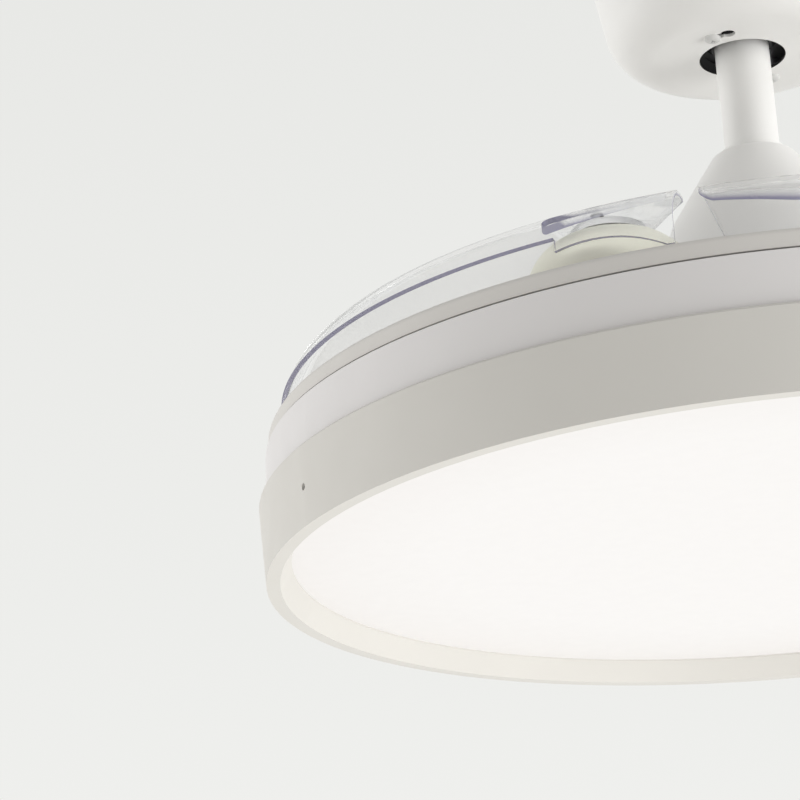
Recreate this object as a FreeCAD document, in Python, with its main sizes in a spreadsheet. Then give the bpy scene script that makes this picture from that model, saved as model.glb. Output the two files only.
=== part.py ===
import FreeCAD, Part
import math
import os
import re
import Sketcher

# A ceiling fan whose clear blades fold round a lamp drum.
# The frame: origin on the ceiling at the bracket's centre, +Z up, the bracket's slots along Y,
# and the fan hangs towards -Z.

doc = FreeCAD.newDocument("CeilingFan")
sheet = doc.addObject("Spreadsheet::Sheet", "Sheet")
pieces = []
named_rows = []

SHEET_WORDS = ("sin", "cos", "tan", "sqrt", "pi")
SCRATCH_CELL = "D1"


# Driving lengths in millimetres.
LENGTHS = {
    # General sizes
    "drop": 320,
    "overrun": 2,
    "screw_fit": 0.05,
    "running_fit": 0.05,
    "play": 0.3,
    # Canopy against the ceiling
    "canopy_height": 61.2,
    "canopy_rim_radius": 74,
    "canopy_taper": 10.4,
    "canopy_bend_radius": 22,
    "canopy_wall": 1.6,
    "canopy_hole_radius": 21.4,
    "canopy_screw_circle": 30.3,
    "canopy_screw_radius": 2,
    "canopy_screw_head_radius": 4,
    "canopy_screw_head_height": 2.2,
    "canopy_screw_length": 8,
    "key_hole_radius": 3.7,
    # Bracket on the ceiling, with the cradle that carries the hanger ball
    "bracket_metal": 2.5,
    "bracket_margin": 10.4,
    "bracket_leg_span": 76,
    "bracket_width": 46,
    "bracket_post_length": 7.1,
    "ceiling_slot_spacing": 98,
    "ceiling_slot_length": 12,
    "ceiling_slot_radius": 2.75,
    "bracket_post_radius": 4.5,
    "receiver_length": 62,
    "receiver_width": 38,
    "receiver_height": 13,
    "receiver_corner": 3,
    "terminal_length": 26,
    "terminal_depth": 11,
    "terminal_height": 13,
    "terminal_hole_radius": 2,
    "terminal_top_depth": 14,
    # Hanger ball, down rod and yoke
    "ball_radius": 24,
    "ball_rise": 15.5,
    "ball_top_height": 14,
    "ball_foot_depth": 18.7,
    "hanger_pin_radius": 3,
    "hanger_pin_length": 44,
    "ball_screw_radius": 2.5,
    "ball_screw_height": 9,
    "ball_screw_length": 7,
    "rod_radius": 13.5,
    "rod_wall": 1.5,
    "rod_rise": 16,
    "yoke_radius": 18,
    "yoke_gap": 2,
    "yoke_height": 78,
    "yoke_shaft_depth": 19,
    "yoke_rod_depth": 52,
    "yoke_bolt_radius": 3,
    "yoke_bolt_height": 40,
    "yoke_bolt_head_radius": 5,
    "yoke_bolt_head_height": 4,
    "yoke_bolt_tail": 7,
    "clip_radius": 0.9,
    "clip_eye_radius": 4,
    "clip_leg": 14,
    "yoke_screw_radius": 2.5,
    "yoke_screw_height": 66,
    # Bell cover over the motor
    "bell_roof": 3.5,
    "bell_neck_height": 3,
    "bell_neck_radius": 15.8,
    "bell_rod_gap": 0.6,
    "bell_shoulder_radius": 20.2,
    "bell_shoulder_round": 4,
    "bell_motor_gap": 17.7,
    "bell_foot_gap": 8,
    "bell_wall": 3,
    "grommet_thickness": 2,
    # Lamp drum
    "lamp_ring_height": 37.2,
    "lamp_ring_radius": 250.5,
    "lamp_ring_draft": 1.7,
    "lamp_bevel": 1.3,
    "lip_wall": 6.5,
    "diffuser_recess": 11.3,
    "bezel_reach": 4.5,
    "bezel_edge": 1,
    "lamp_ring_wall": 9.5,
    "diffuser_thickness": 2.5,
    "diffuser_room": 0.4,
    "pan_height": 23.8,
    "pan_step": 3.5,
    "pan_draft": 0.8,
    "pan_wall": 2,
    "pan_plate": 2,
    "pan_rim_rise": 7,
    "pan_skirt_wall": 2.2,
    "ring_screw_radius": 1.6,
    "ring_screw_height": 17.5,
    "ring_screw_sink": 0.4,
    "lamp_plate_radius": 58,
    "lamp_plate_thickness": 2.5,
    "plate_screw_circle": 44,
    "small_screw_radius": 2,
    "small_screw_head_radius": 3.8,
    "small_screw_head_height": 2,
    "led_board_inner_radius": 110,
    "led_board_margin": 15.7,
    "led_board_thickness": 1.6,
    "led_chip": 5,
    "led_chip_height": 1,
    "led_ring_first_radius": 130,
    "led_edge": 15,
    "driver_length": 118,
    "driver_width": 42,
    "driver_height": 24,
    "driver_corner": 4,
    "driver_offset": 58,
    # Turning tray
    "tray_gap": 1.1,
    "tray_rim_height": 8.8,
    "tray_plate": 2.5,
    "tray_step": 0.9,
    "tray_draft": 0.8,
    "tray_wall": 2.5,
    "tray_round": 3,
    # Motor: an outer rotor round a fixed hollow shaft
    "motor_radius": 72,
    "motor_wall": 3,
    "motor_height": 40.6,
    "motor_plate": 3.5,
    "motor_split": 21.1,
    "flange_reach": 8,
    "flange_thickness": 2,
    "base_flange_reach": 13,
    "base_flange_thickness": 2.5,
    "bearing_radius": 17.5,
    "bearing_width": 10,
    "bearing_race": 3,
    "bearing_shield": 0.6,
    "boss_wall": 3.5,
    "boss_lip": 1,
    "lip_reach": 3.5,
    "shaft_radius": 8.5,
    "shaft_bore_radius": 5,
    "shaft_collar_radius": 12,
    "shaft_tail": 8,
    "shaft_nut_radius": 14,
    "shaft_nut_height": 6,
    "stator_height": 18,
    "stator_hub_radius": 36,
    "stator_tooth_width": 9,
    "stator_shoe_width": 23,
    "stator_shoe_depth": 2.5,
    "air_gap": 0.8,
    "coil_build": 3.6,
    "coil_length": 20,
    "magnet_thickness": 4.2,
    "magnet_height": 22,
    # Blade pivots on the tray
    "pivot_inset": 47.5,
    "hub_radius": 37,
    "hub_height": 26.6,
    "hub_side": 0.6,
    "hub_wall": 2,
    "hub_clearance": 0.6,
    "bush_radius": 8,
    "bush_flange_radius": 11,
    "bush_flange": 2,
    "bush_height": 21.6,
    "pivot_radius": 5,
    "pivot_collar_radius": 7,
    "pivot_flange_radius": 16,
    "pivot_flange": 2.9,
    "spring_radius": 12.6,
    "spring_wire_radius": 0.9,
    "spring_pitch": 3.2,
    # Timing gears under the tray
    "tooth_backlash": 0.4,
    "gear_play": 0.9,
    "gear_thickness": 4,
    "timing_ring_width": 13.5,
    "guide_radius": 7,
    "guide_lip": 3,
    "guide_lip_thickness": 1.2,
    # Clear blades: a crowned sheet with a steep outer band
    "blade_inset": 7.9,
    "blade_edge_height": 15.1,
    "blade_band_rise": 15.45,
    "blade_bend_radius": 24,
    "blade_thickness": 2.2,
    "blade_bell_gap": 15.3,
    "skirt_gap": 2.3,
    "arch_radius": 66,
    "arch_height": 11.1,
    "slot_width": 7.4,
    "slot_inset": 3.2,
    "slot_tail_width": 4.6,
    "tip_taper": 5.5,
    "tip_taper_inset": 26.6,
    "tip_corner_radius": 8,
    "tip_corner": 6.5,
    "tip_inner_corner": 22,
    "trim_margin": 20,
    "root_round_radius": 78,
    "root_waist_inset": 25,
    "root_end_width": 24.6,
    "blade_screw_circle": 10.5,
    "blade_screw_radius": 1.5,
    "blade_screw_head_radius": 2.8,
    "blade_screw_head_height": 1.5,
}

# Driving angles in degrees.
ANGLES = {
    "canopy_screw_azimuth": -90,
    "key_hole_turn": 15,
    "ring_screw_azimuth": -120.7,
    "magnet_angle": 22,
    "pivot_azimuth": -82.7,
    "tooth_flank": 20,
    "blade_span": 117.8,
    "root_lead": 10.5,
    "blade_band_angle": 68.6,
    "blade_crown_angle": 4,
    "skirt_span": 12.5,
    "slot_start": 0.9,
    "slot_end": 13.6,
    "tip_taper_start": 80,
    "root_round_start": 40,
    "root_waist_lead": 8,
}

# Numbers of repeated features, and shares.
COUNTS = {
    "blade_count": 3,
    "canopy_screw_count": 2,
    "ceiling_slot_count": 2,
    "terminal_ways": 3,
    "yoke_screw_count": 2,
    "ring_screw_count": 3,
    "plate_screw_count": 4,
    "led_ring_count": 3,
    "led_first_count": 16,
    "led_count_step": 4,
    "case_screw_count": 6,
    "stator_teeth": 12,
    "magnet_count": 14,
    "spring_turns": 4,
    "spring_wire_sides": 8,
    "pinion_teeth": 24,
    "ring_teeth": 180,
    "sector_teeth": 15,
    "sector_lead_teeth": 2.5,
    "addendum_share": 0.9,
    "dedendum_share": 1.25,
    "guide_count": 6,
    "blade_screw_count": 3,
}

# Sizes and levels worked out from the driving ones.
FORMULAS = {
    # General sizes
    "drum_foot": "-drop",
    # Canopy against the ceiling
    "canopy_floor": "-canopy_height",
    "canopy_floor_radius": "canopy_rim_radius - canopy_taper",
    # Bracket on the ceiling, with the cradle that carries the hanger ball
    "bracket_span": "2 * (canopy_rim_radius - canopy_wall - bracket_margin)",
    "bracket_drop": "canopy_height - canopy_wall - bracket_post_length",
    "cradle_foot": "-bracket_drop",
    # Hanger ball, down rod and yoke
    "ball_level": "ball_rise - bracket_drop",
    # Lamp drum
    "lamp_ring_foot_radius": "lamp_ring_radius - lamp_ring_draft",
    "lip_radius": "lamp_ring_foot_radius - lip_wall",
    "ledge_radius": "lamp_ring_radius - lamp_ring_wall",
    "bezel_radius": "ledge_radius - bezel_reach",
    "pan_radius": "lamp_ring_radius - pan_step",
    "pan_top_radius": "pan_radius - pan_draft",
    "ring_top": "drum_foot + lamp_ring_height",
    "ledge_level": "drum_foot + diffuser_recess",
    "diffuser_top": "ledge_level + diffuser_thickness",
    "pan_top": "ring_top + pan_height",
    "pan_plate_top": "pan_top - pan_rim_rise",
    "pan_plate_foot": "pan_plate_top - pan_plate",
    "skirt_radius": "ledge_radius - play",
    "lamp_plate_top": "pan_plate_top + lamp_plate_thickness",
    "led_board_outer_radius": "skirt_radius - led_board_margin",
    "led_ring_step": "(led_board_outer_radius - led_edge - led_ring_first_radius) / (led_ring_count - 1)",
    # Turning tray
    "tray_foot_radius": "pan_top_radius - tray_step",
    "tray_edge_radius": "tray_foot_radius - tray_draft",
    "tray_foot": "pan_top + tray_gap",
    "tray_top": "tray_foot + tray_rim_height",
    "tray_underside": "tray_top - tray_plate",
    # Motor: an outer rotor round a fixed hollow shaft
    "case_inner_radius": "motor_radius - motor_wall",
    "rotor_top": "tray_top + motor_height",
    "split_level": "tray_top + motor_split",
    "seat_radius": "bearing_radius + running_fit",
    "boss_radius": "bearing_radius + boss_wall",
    "boss_lip_radius": "bearing_radius - lip_reach",
    "lower_bearing_foot": "tray_top + motor_plate - bearing_width",
    "upper_bearing_foot": "rotor_top - motor_plate + boss_lip + play",
    "upper_boss_top": "upper_bearing_foot + bearing_width",
    "stator_middle": "tray_top + motor_height / 2",
    "stator_radius": "case_inner_radius - magnet_thickness - air_gap",
    "yoke_foot": "upper_boss_top + yoke_gap",
    "yoke_top": "yoke_foot + yoke_height",
    "rod_foot": "yoke_top - yoke_rod_depth",
    "shaft_top": "yoke_foot + yoke_shaft_depth",
    "shaft_foot": "pan_plate_foot - shaft_tail",
    "bell_ceiling": "yoke_top + grommet_thickness",
    "bell_top": "bell_ceiling + bell_roof",
    "bell_foot": "tray_top + bell_foot_gap",
    "bell_foot_radius": "motor_radius + base_flange_reach + bell_motor_gap",
    "bell_bore_radius": "rod_radius + bell_rod_gap",
    "case_screw_circle": "motor_radius + flange_reach / 2",
    "tray_screw_circle": "motor_radius + base_flange_reach / 2",
    # Blade pivots on the tray
    "pivot_circle": "tray_edge_radius - pivot_inset",
    "hub_top": "tray_top + hub_height",
    "hub_round": "hub_height - hub_side",
    "pivot_flange_foot": "hub_top + hub_clearance",
    "pivot_top": "pivot_flange_foot + pivot_flange",
    "bush_top": "tray_top + bush_height",
    "hub_hole_radius": "pivot_collar_radius + hub_clearance",
    # Timing gears under the tray
    "tooth_module": "2 * pivot_circle / (pinion_teeth + ring_teeth)",
    "pinion_pitch_radius": "tooth_module * pinion_teeth / 2",
    "ring_pitch_radius": "tooth_module * ring_teeth / 2",
    "tooth_half": "tooth_module * pi / 4 - tooth_backlash / 2",
    "addendum": "addendum_share * tooth_module",
    "dedendum": "dedendum_share * tooth_module",
    "tip_half": "tooth_half - addendum * tan(tooth_flank)",
    "root_half": "tooth_half + dedendum * tan(tooth_flank)",
    "gear_top": "tray_underside - gear_play",
    "gear_foot": "gear_top - gear_thickness",
    "timing_ring_inner": "ring_pitch_radius - dedendum - timing_ring_width",
    "guide_circle": "timing_ring_inner - play - guide_radius",
    # Clear blades: a crowned sheet with a steep outer band
    "blade_half": "blade_thickness / 2",
    "blade_edge_radius": "tray_edge_radius - blade_inset",
    "blade_inner_radius": "bell_foot_radius + blade_bell_gap",
    "slot_outer_radius": "blade_edge_radius - slot_inset",
    "slot_inner_radius": "slot_outer_radius - slot_width",
    "slot_tail_radius": "slot_outer_radius - slot_tail_width",
    "tip_taper_radius": "blade_edge_radius - tip_taper_inset",
    "root_waist_radius": "pivot_circle - root_waist_inset",
    "root_end_radius": "blade_edge_radius - root_end_width",
    "blade_edge_level": "tray_top + blade_edge_height",
    "blade_knee_level": "blade_edge_level + blade_band_rise",
    "blade_knee_radius": "blade_edge_radius - blade_band_rise / tan(blade_band_angle)",
    "blade_inner_level":
        "blade_knee_level + (blade_knee_radius - blade_inner_radius) * tan(blade_crown_angle)",
    "knee_share": "1 / (1 + cos(blade_band_angle - blade_crown_angle))",
    "knee_reach": "blade_half * knee_share * (sin(blade_band_angle) + sin(blade_crown_angle))",
    "knee_lift": "blade_half * knee_share * (cos(blade_band_angle) + cos(blade_crown_angle))",
    "blade_pivot_level": "blade_knee_level + (blade_knee_radius - pivot_circle) * tan(blade_crown_angle)",
}


def add_row(alias, content):
    """Adds one row to the sheet: the name in column A, the value or formula in column B."""
    row = len(named_rows) + 1
    named_rows.append(alias)
    sheet.set("A%d" % row, alias)
    sheet.set("B%d" % row, content)
    sheet.setAlias("B%d" % row, alias)


for driving_sizes in (LENGTHS, ANGLES, COUNTS):
    for alias, value in driving_sizes.items():
        add_row(alias, str(value))
for alias, formula in FORMULAS.items():
    add_row(alias, "=" + formula)
doc.recompute()


def bound(formula):
    """The formula with each named size written as the sheet's cell."""
    def cell_name(match):
        word = match.group()
        return word if word in SHEET_WORDS else "Sheet." + word
    return re.sub(r"[a-z]\w*", cell_name, formula)


def number(formula):
    """The formula's present value, worked out by the sheet."""
    sheet.set(SCRATCH_CELL, "=" + formula)
    sheet.recompute()
    return float(sheet.get(SCRATCH_CELL))


def polar(radius, angle):
    """A point of the blade's plan: its angle runs clockwise from the root end."""
    return ("(%s) * cos(%s)" % (radius, angle), "-(%s) * sin(%s)" % (radius, angle))


def register(piece, label):
    """Gives a piece its name and puts it on the list of pieces to write."""
    piece.Label = label
    pieces.append(piece)
    return piece


def new_body(label):
    return register(doc.addObject("PartDesign::Body", "Body"), label)


def origin_feature(body, role):
    return [item for item in body.Origin.OriginFeatures if item.Role == role][0]


def new_sketch(body, role, level=None):
    """A sketch on one of the body's own origin planes, lifted to a level along its normal."""
    sketch = body.newObject("Sketcher::SketchObject", "Sketch")
    sketch.AttachmentSupport = (origin_feature(body, role), [""])
    sketch.MapMode = "FlatFace"
    if level:
        sketch.setExpression("AttachmentOffset.Base.z", bound(level))
        sketch.AttachmentOffset = FreeCAD.Placement(FreeCAD.Vector(0, 0, number(level)), FreeCAD.Rotation())
    return sketch


def fix_point(sketch, geometry, position, point):
    """Ties a point of a sketch to two named coordinates."""
    for kind, axis, formula in (("DistanceX", -2, point[0]), ("DistanceY", -1, point[1])):
        if formula == "0":
            sketch.addConstraint(Sketcher.Constraint("PointOnObject", geometry, position, axis))
            continue
        index = sketch.addConstraint(Sketcher.Constraint(kind, -1, 1, geometry, position, number(formula)))
        sketch.setExpression("Constraints[%d]" % index, bound(formula))


def fix_radius(sketch, geometry, formula):
    index = sketch.addConstraint(Sketcher.Constraint("Radius", geometry, number(formula)))
    sketch.setExpression("Constraints[%d]" % index, bound(formula))


def add_arc(sketch, centre, radius, start, end, left_turn):
    """An arc between two points. Gives its index and which of its ends comes first and last."""
    first, last = (start, end) if left_turn else (end, start)
    angles = [math.atan2(spot.y - centre.y, spot.x - centre.x) for spot in (first, last)]
    if angles[1] < angles[0]:
        angles[1] += 2 * math.pi
    circle = Part.Circle(centre, FreeCAD.Vector(0, 0, 1), radius)
    geometry = sketch.addGeometry(Part.ArcOfCircle(circle, angles[0], angles[1]), False)
    return (geometry, 1, 2) if left_turn else (geometry, 2, 1)


def arc_centre(start, end, radius, left_turn):
    chord = end - start
    middle = start + chord * 0.5
    reach = math.sqrt(max(radius * radius - chord.Length * chord.Length / 4, 0))
    side = FreeCAD.Vector(-chord.y, chord.x, 0)
    side.normalize()
    return middle + side * (reach if left_turn else -reach)


def outline(sketch, points):
    """A closed outline. A point is (x, y), with a third item where its corner is rounded,
    ("round", radius), or where an arc leaves it, ("left", radius) or ("right", radius)."""
    count = len(points)
    spots = [FreeCAD.Vector(number(point[0]), number(point[1]), 0) for point in points]
    bends = [point[2] if len(point) > 2 else ("plain", None) for point in points]
    enters = list(spots)
    leaves = list(spots)
    for index in range(count):
        if bends[index][0] != "round":
            continue
        before = (spots[index - 1] - spots[index]).normalize()
        after = (spots[(index + 1) % count] - spots[index]).normalize()
        half_angle = before.getAngle(after) / 2
        reach = number(bends[index][1]) / math.tan(half_angle)
        enters[index] = spots[index] + before * reach
        leaves[index] = spots[index] + after * reach
    edges = []
    for index in range(count):
        start = leaves[index]
        end = enters[(index + 1) % count]
        if bends[index][0] in ("left", "right"):
            left_turn = bends[index][0] == "left"
            radius = number(bends[index][1])
            centre = arc_centre(start, end, radius, left_turn)
            edges.append(add_arc(sketch, centre, radius, start, end, left_turn))
        else:
            edges.append((sketch.addGeometry(Part.LineSegment(start, end), False), 1, 2))
    for index in range(count):
        previous = edges[index - 1]
        edge = edges[index]
        if bends[index][0] != "round":
            join = Sketcher.Constraint("Coincident", previous[0], previous[2], edge[0], edge[1])
            sketch.addConstraint(join)
            fix_point(sketch, edge[0], edge[1], points[index])
            continue
        before = enters[index] - spots[index]
        after = leaves[index] - spots[index]
        left_turn = after.cross(before).z > 0
        radius = number(bends[index][1])
        centre = arc_centre(enters[index], leaves[index], radius, left_turn)
        bend = add_arc(sketch, centre, radius, enters[index], leaves[index], left_turn)
        corner = sketch.addGeometry(Part.Point(spots[index]), True)
        fix_point(sketch, corner, 1, points[index])
        sketch.addConstraint(Sketcher.Constraint("PointOnObject", corner, 1, previous[0]))
        sketch.addConstraint(Sketcher.Constraint("PointOnObject", corner, 1, edge[0]))
        sketch.addConstraint(Sketcher.Constraint("Tangent", previous[0], previous[2], bend[0], bend[1]))
        sketch.addConstraint(Sketcher.Constraint("Tangent", bend[0], bend[2], edge[0], edge[1]))
        fix_radius(sketch, bend[0], bends[index][1])
    for edge, bend in zip(edges, bends):
        if bend[0] in ("left", "right"):
            fix_radius(sketch, edge[0], bend[1])


def round_hole(sketch, x, y, radius):
    """A full circle about a named point."""
    centre = FreeCAD.Vector(number(x), number(y), 0)
    circle = Part.Circle(centre, FreeCAD.Vector(0, 0, 1), number(radius))
    geometry = sketch.addGeometry(circle, False)
    fix_point(sketch, geometry, 3, (x, y))
    fix_radius(sketch, geometry, radius)


def rectangle(x_low, y_low, x_high, y_high, corner=None):
    """The four points of an upright rectangle, rounded where a corner radius is given."""
    points = [(x_low, y_low), (x_high, y_low), (x_high, y_high), (x_low, y_high)]
    if corner:
        points = [point + (("round", corner),) for point in points]
    return points


def pad(body, sketch, length, symmetric=False, downward=False):
    feature = body.newObject("PartDesign::Pad", "Pad")
    feature.Profile = sketch
    feature.SideType = "Symmetric" if symmetric else "One side"
    feature.Reversed = downward
    feature.setExpression("Length", bound(length))
    return feature


def pocket(body, sketch, depth, symmetric=False, upward=False):
    feature = body.newObject("PartDesign::Pocket", "Pocket")
    feature.Profile = sketch
    feature.SideType = "Symmetric" if symmetric else "One side"
    feature.Reversed = upward
    feature.setExpression("Length", bound(depth))
    return feature


def revolution(body, points, angle=None, clockwise=False):
    """Turns a profile of radius and level about the body's upright axis."""
    sketch = new_sketch(body, "XZ_Plane")
    outline(sketch, points)
    feature = body.newObject("PartDesign::Revolution", "Revolution")
    feature.Profile = sketch
    feature.ReferenceAxis = (sketch, ["V_Axis"])
    feature.Reversed = clockwise
    if angle:
        feature.setExpression("Angle", bound(angle))
    else:
        feature.Angle = 360
    return feature


def around(body, feature, count, angle=None):
    """Repeats a feature about the upright axis."""
    pattern = body.newObject("PartDesign::PolarPattern", "Pattern")
    pattern.Originals = [feature]
    pattern.Axis = (origin_feature(body, "Z_Axis"), [""])
    pattern.setExpression("Occurrences", bound(count))
    if angle:
        pattern.setExpression("Angle", bound(angle))
    else:
        pattern.Angle = 360
    body.Tip = pattern
    return pattern


def turned(label, points):
    """A piece of revolution about the fan's axis."""
    body = new_body(label)
    revolution(body, points)
    return body


def hole_ring(body, circle, radius, count, level, depth):
    """A ring of round holes sunk from a level."""
    sketch = new_sketch(body, "XY_Plane", level)
    round_hole(sketch, circle, "0", radius)
    return around(body, pocket(body, sketch, depth), count)


def screw_profile(axis, level, radius, length, head_radius, head_height):
    """Half of a pan-head screw whose head stands on a level, drawn beside its own upright axis."""
    return [
        (axis, "(%s) - (%s)" % (level, length)),
        ("(%s) + %s" % (axis, radius), "(%s) - (%s)" % (level, length)),
        ("(%s) + %s" % (axis, radius), level),
        ("(%s) + %s" % (axis, head_radius), level),
        ("(%s) + %s" % (axis, head_radius), "(%s) + %s" % (level, head_height)),
        (axis, "(%s) + %s" % (level, head_height)),
    ]


def screw_ring(label, circle, level, radius, length, head_radius, head_height, count):
    """Equal upright screws on a circle, as separate solids of one piece."""
    body = new_body(label)
    sketch = new_sketch(body, "XZ_Plane")
    outline(sketch, screw_profile(circle, level, radius, length, head_radius, head_height))
    low = FreeCAD.Vector(number(circle), number("(%s) - (%s)" % (level, length)), 0)
    high = FreeCAD.Vector(number(circle), number("(%s) + %s" % (level, head_height)), 0)
    axis = sketch.addGeometry(Part.LineSegment(low, high), True)
    fix_point(sketch, axis, 1, (circle, "(%s) - (%s)" % (level, length)))
    fix_point(sketch, axis, 2, (circle, "(%s) + %s" % (level, head_height)))
    feature = body.newObject("PartDesign::Revolution", "Revolution")
    feature.Profile = sketch
    feature.ReferenceAxis = (sketch, ["Axis0"])
    feature.Angle = 360
    around(body, feature, count)
    return body


def block(label, x_low, y_low, x_high, y_high, level, height, corner):
    """A box with rounded upright edges."""
    body = new_body(label)
    sketch = new_sketch(body, "XY_Plane", level)
    outline(sketch, rectangle(x_low, y_low, x_high, y_high, corner))
    pad(body, sketch, height)
    return body


def turn_piece(piece, angle):
    """Turns a piece about the fan's axis."""
    piece.setExpression("Placement.Rotation.Angle", bound(angle))


def arm_angle(arm):
    return "pivot_azimuth + %d * 360 / blade_count" % arm


def place_on_pivot(piece, arm):
    """Moves a piece that is modelled about a blade pivot to that pivot."""
    turn_piece(piece, arm_angle(arm))
    piece.setExpression("Placement.Base.x", bound("pivot_circle * cos(%s)" % arm_angle(arm)))
    piece.setExpression("Placement.Base.y", bound("pivot_circle * sin(%s)" % arm_angle(arm)))


def cross_cylinder(label, radius, length, level):
    """A round bar lying along X through the fan's axis."""
    bar = register(doc.addObject("Part::Cylinder", "Bar"), label)
    bar.setExpression("Radius", bound(radius))
    bar.setExpression("Height", bound(length))
    bar.Placement.Rotation = FreeCAD.Rotation(FreeCAD.Vector(0, 1, 0), 90)
    bar.setExpression("Placement.Base.x", bound("-(%s) / 2" % length))
    bar.setExpression("Placement.Base.z", bound(level))
    return bar


def make_canopy():
    """The bowl under the ceiling, with the rod's hole and two key holes for its screws."""
    body = turned("canopy", [
        ("canopy_hole_radius", "canopy_floor"),
        ("canopy_floor_radius", "canopy_floor", ("round", "canopy_bend_radius")),
        ("canopy_rim_radius", "0"),
        ("canopy_rim_radius - canopy_wall", "0"),
        ("canopy_floor_radius - canopy_wall", "canopy_floor + canopy_wall",
         ("round", "canopy_bend_radius - canopy_wall")),
        ("canopy_hole_radius", "canopy_floor + canopy_wall"),
    ])
    sketch = new_sketch(body, "XY_Plane", "canopy_floor + canopy_wall + overrun")
    key_x = "canopy_screw_circle * cos(key_hole_turn)"
    key_y = "canopy_screw_circle * sin(key_hole_turn)"
    round_hole(sketch, key_x, key_y, "key_hole_radius")
    keys = pocket(body, sketch, "canopy_wall + 2 * overrun")
    around(body, keys, "canopy_screw_count")
    narrow = new_sketch(body, "XY_Plane", "canopy_floor + canopy_wall + overrun")
    slot_half = "(canopy_screw_radius + play)"
    outline(narrow, [
        ("canopy_screw_circle - %s" % slot_half, "-" + slot_half),
        ("canopy_screw_circle + %s" % slot_half, "-" + slot_half),
        ("%s + %s" % (key_x, slot_half), key_y),
        ("%s - %s" % (key_x, slot_half), key_y),
    ])
    slots = pocket(body, narrow, "canopy_wall + 2 * overrun")
    around(body, slots, "canopy_screw_count")
    turn_piece(body, "canopy_screw_azimuth")


def make_canopy_screws():
    """The two screws that hold the canopy, their heads under its floor."""
    body = screw_ring("canopy_screws", "canopy_screw_circle", "canopy_floor", "canopy_screw_radius",
                      "-canopy_screw_length", "canopy_screw_head_radius", "-canopy_screw_head_height",
                      "canopy_screw_count")
    turn_piece(body, "canopy_screw_azimuth")


def make_bracket():
    """The steel cradle on the ceiling: slotted plate, two legs, a ball seat and two threaded posts."""
    body = new_body("ceiling_bracket")
    half = "bracket_width / 2"
    frame = new_sketch(body, "XZ_Plane")
    leg = "bracket_leg_span / 2"
    outline(frame, [
        ("bracket_span / 2", "0"),
        ("-bracket_span / 2", "0"),
        ("-bracket_span / 2", "-bracket_metal"),
        ("-" + leg, "-bracket_metal"),
        ("-" + leg, "cradle_foot"),
        (leg, "cradle_foot"),
        (leg, "-bracket_metal"),
        ("bracket_span / 2", "-bracket_metal"),
    ])
    outline(frame, rectangle("bracket_metal - " + leg, "cradle_foot + bracket_metal",
                             leg + " - bracket_metal", "-bracket_metal"))
    pad(body, frame, "bracket_width", symmetric=True)
    posts = new_sketch(body, "XY_Plane", "cradle_foot")
    round_hole(posts, "canopy_screw_circle", "0", "bracket_post_radius")
    around(body, pad(body, posts, "bracket_post_length", downward=True),
           "canopy_screw_count")
    threads = new_sketch(body, "XY_Plane", "cradle_foot + bracket_metal + overrun")
    round_hole(threads, "canopy_screw_circle", "0", "canopy_screw_radius + screw_fit")
    around(body, pocket(body, threads, "bracket_drop"), "canopy_screw_count")
    slots = new_sketch(body, "XY_Plane", "overrun")
    near = "(ceiling_slot_spacing - ceiling_slot_length) / 2 + ceiling_slot_radius"
    far = "(ceiling_slot_spacing + ceiling_slot_length) / 2 - ceiling_slot_radius"
    outline(slots, [
        (near, "-ceiling_slot_radius"),
        (far, "-ceiling_slot_radius", ("left", "ceiling_slot_radius")),
        (far + " + ceiling_slot_radius", "0", ("left", "ceiling_slot_radius")),
        (far, "ceiling_slot_radius"),
        (near, "ceiling_slot_radius", ("left", "ceiling_slot_radius")),
        (near + " - ceiling_slot_radius", "0", ("left", "ceiling_slot_radius")),
    ])
    around(body, pocket(body, slots, "bracket_metal + 2 * overrun"), "ceiling_slot_count")
    seat = new_sketch(body, "XZ_Plane")
    socket_radius = "(ball_radius + running_fit)"
    outline(seat, [
        ("0", "ball_level - %s" % socket_radius, ("left", socket_radius)),
        (socket_radius, "ball_level", ("left", socket_radius)),
        ("0", "ball_level + %s" % socket_radius),
    ])
    groove = body.newObject("PartDesign::Groove", "Seat")
    groove.Profile = seat
    groove.ReferenceAxis = (seat, ["V_Axis"])
    groove.Angle = 360
    turn_piece(body, "canopy_screw_azimuth")


def make_receiver():
    """The remote control's receiver under the bracket's plate, and the block that takes the mains wires."""
    receiver = block("receiver_box", "-receiver_length / 2", "-receiver_width / 2", "receiver_length / 2",
                     "receiver_width / 2", "-bracket_metal - receiver_height", "receiver_height",
                     "receiver_corner")
    turn_piece(receiver, "canopy_screw_azimuth")
    terminal = new_body("terminal_block")
    sketch = new_sketch(terminal, "XY_Plane", "-terminal_top_depth - terminal_height")
    inner = "bracket_leg_span / 2"
    outline(sketch, rectangle(inner, "-terminal_length / 2",
                              inner + " + terminal_depth", "terminal_length / 2"))
    pad(terminal, sketch, "terminal_height")
    ways = new_sketch(terminal, "XY_Plane", "-terminal_top_depth + overrun")
    for way in range(int(number("terminal_ways"))):
        middle = "terminal_length * ((%d + 0.5) / terminal_ways - 0.5)" % way
        round_hole(ways, inner + " + terminal_depth / 2", middle, "terminal_hole_radius")
    pocket(terminal, ways, "terminal_height + 2 * overrun")
    turn_piece(terminal, "canopy_screw_azimuth")


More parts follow.
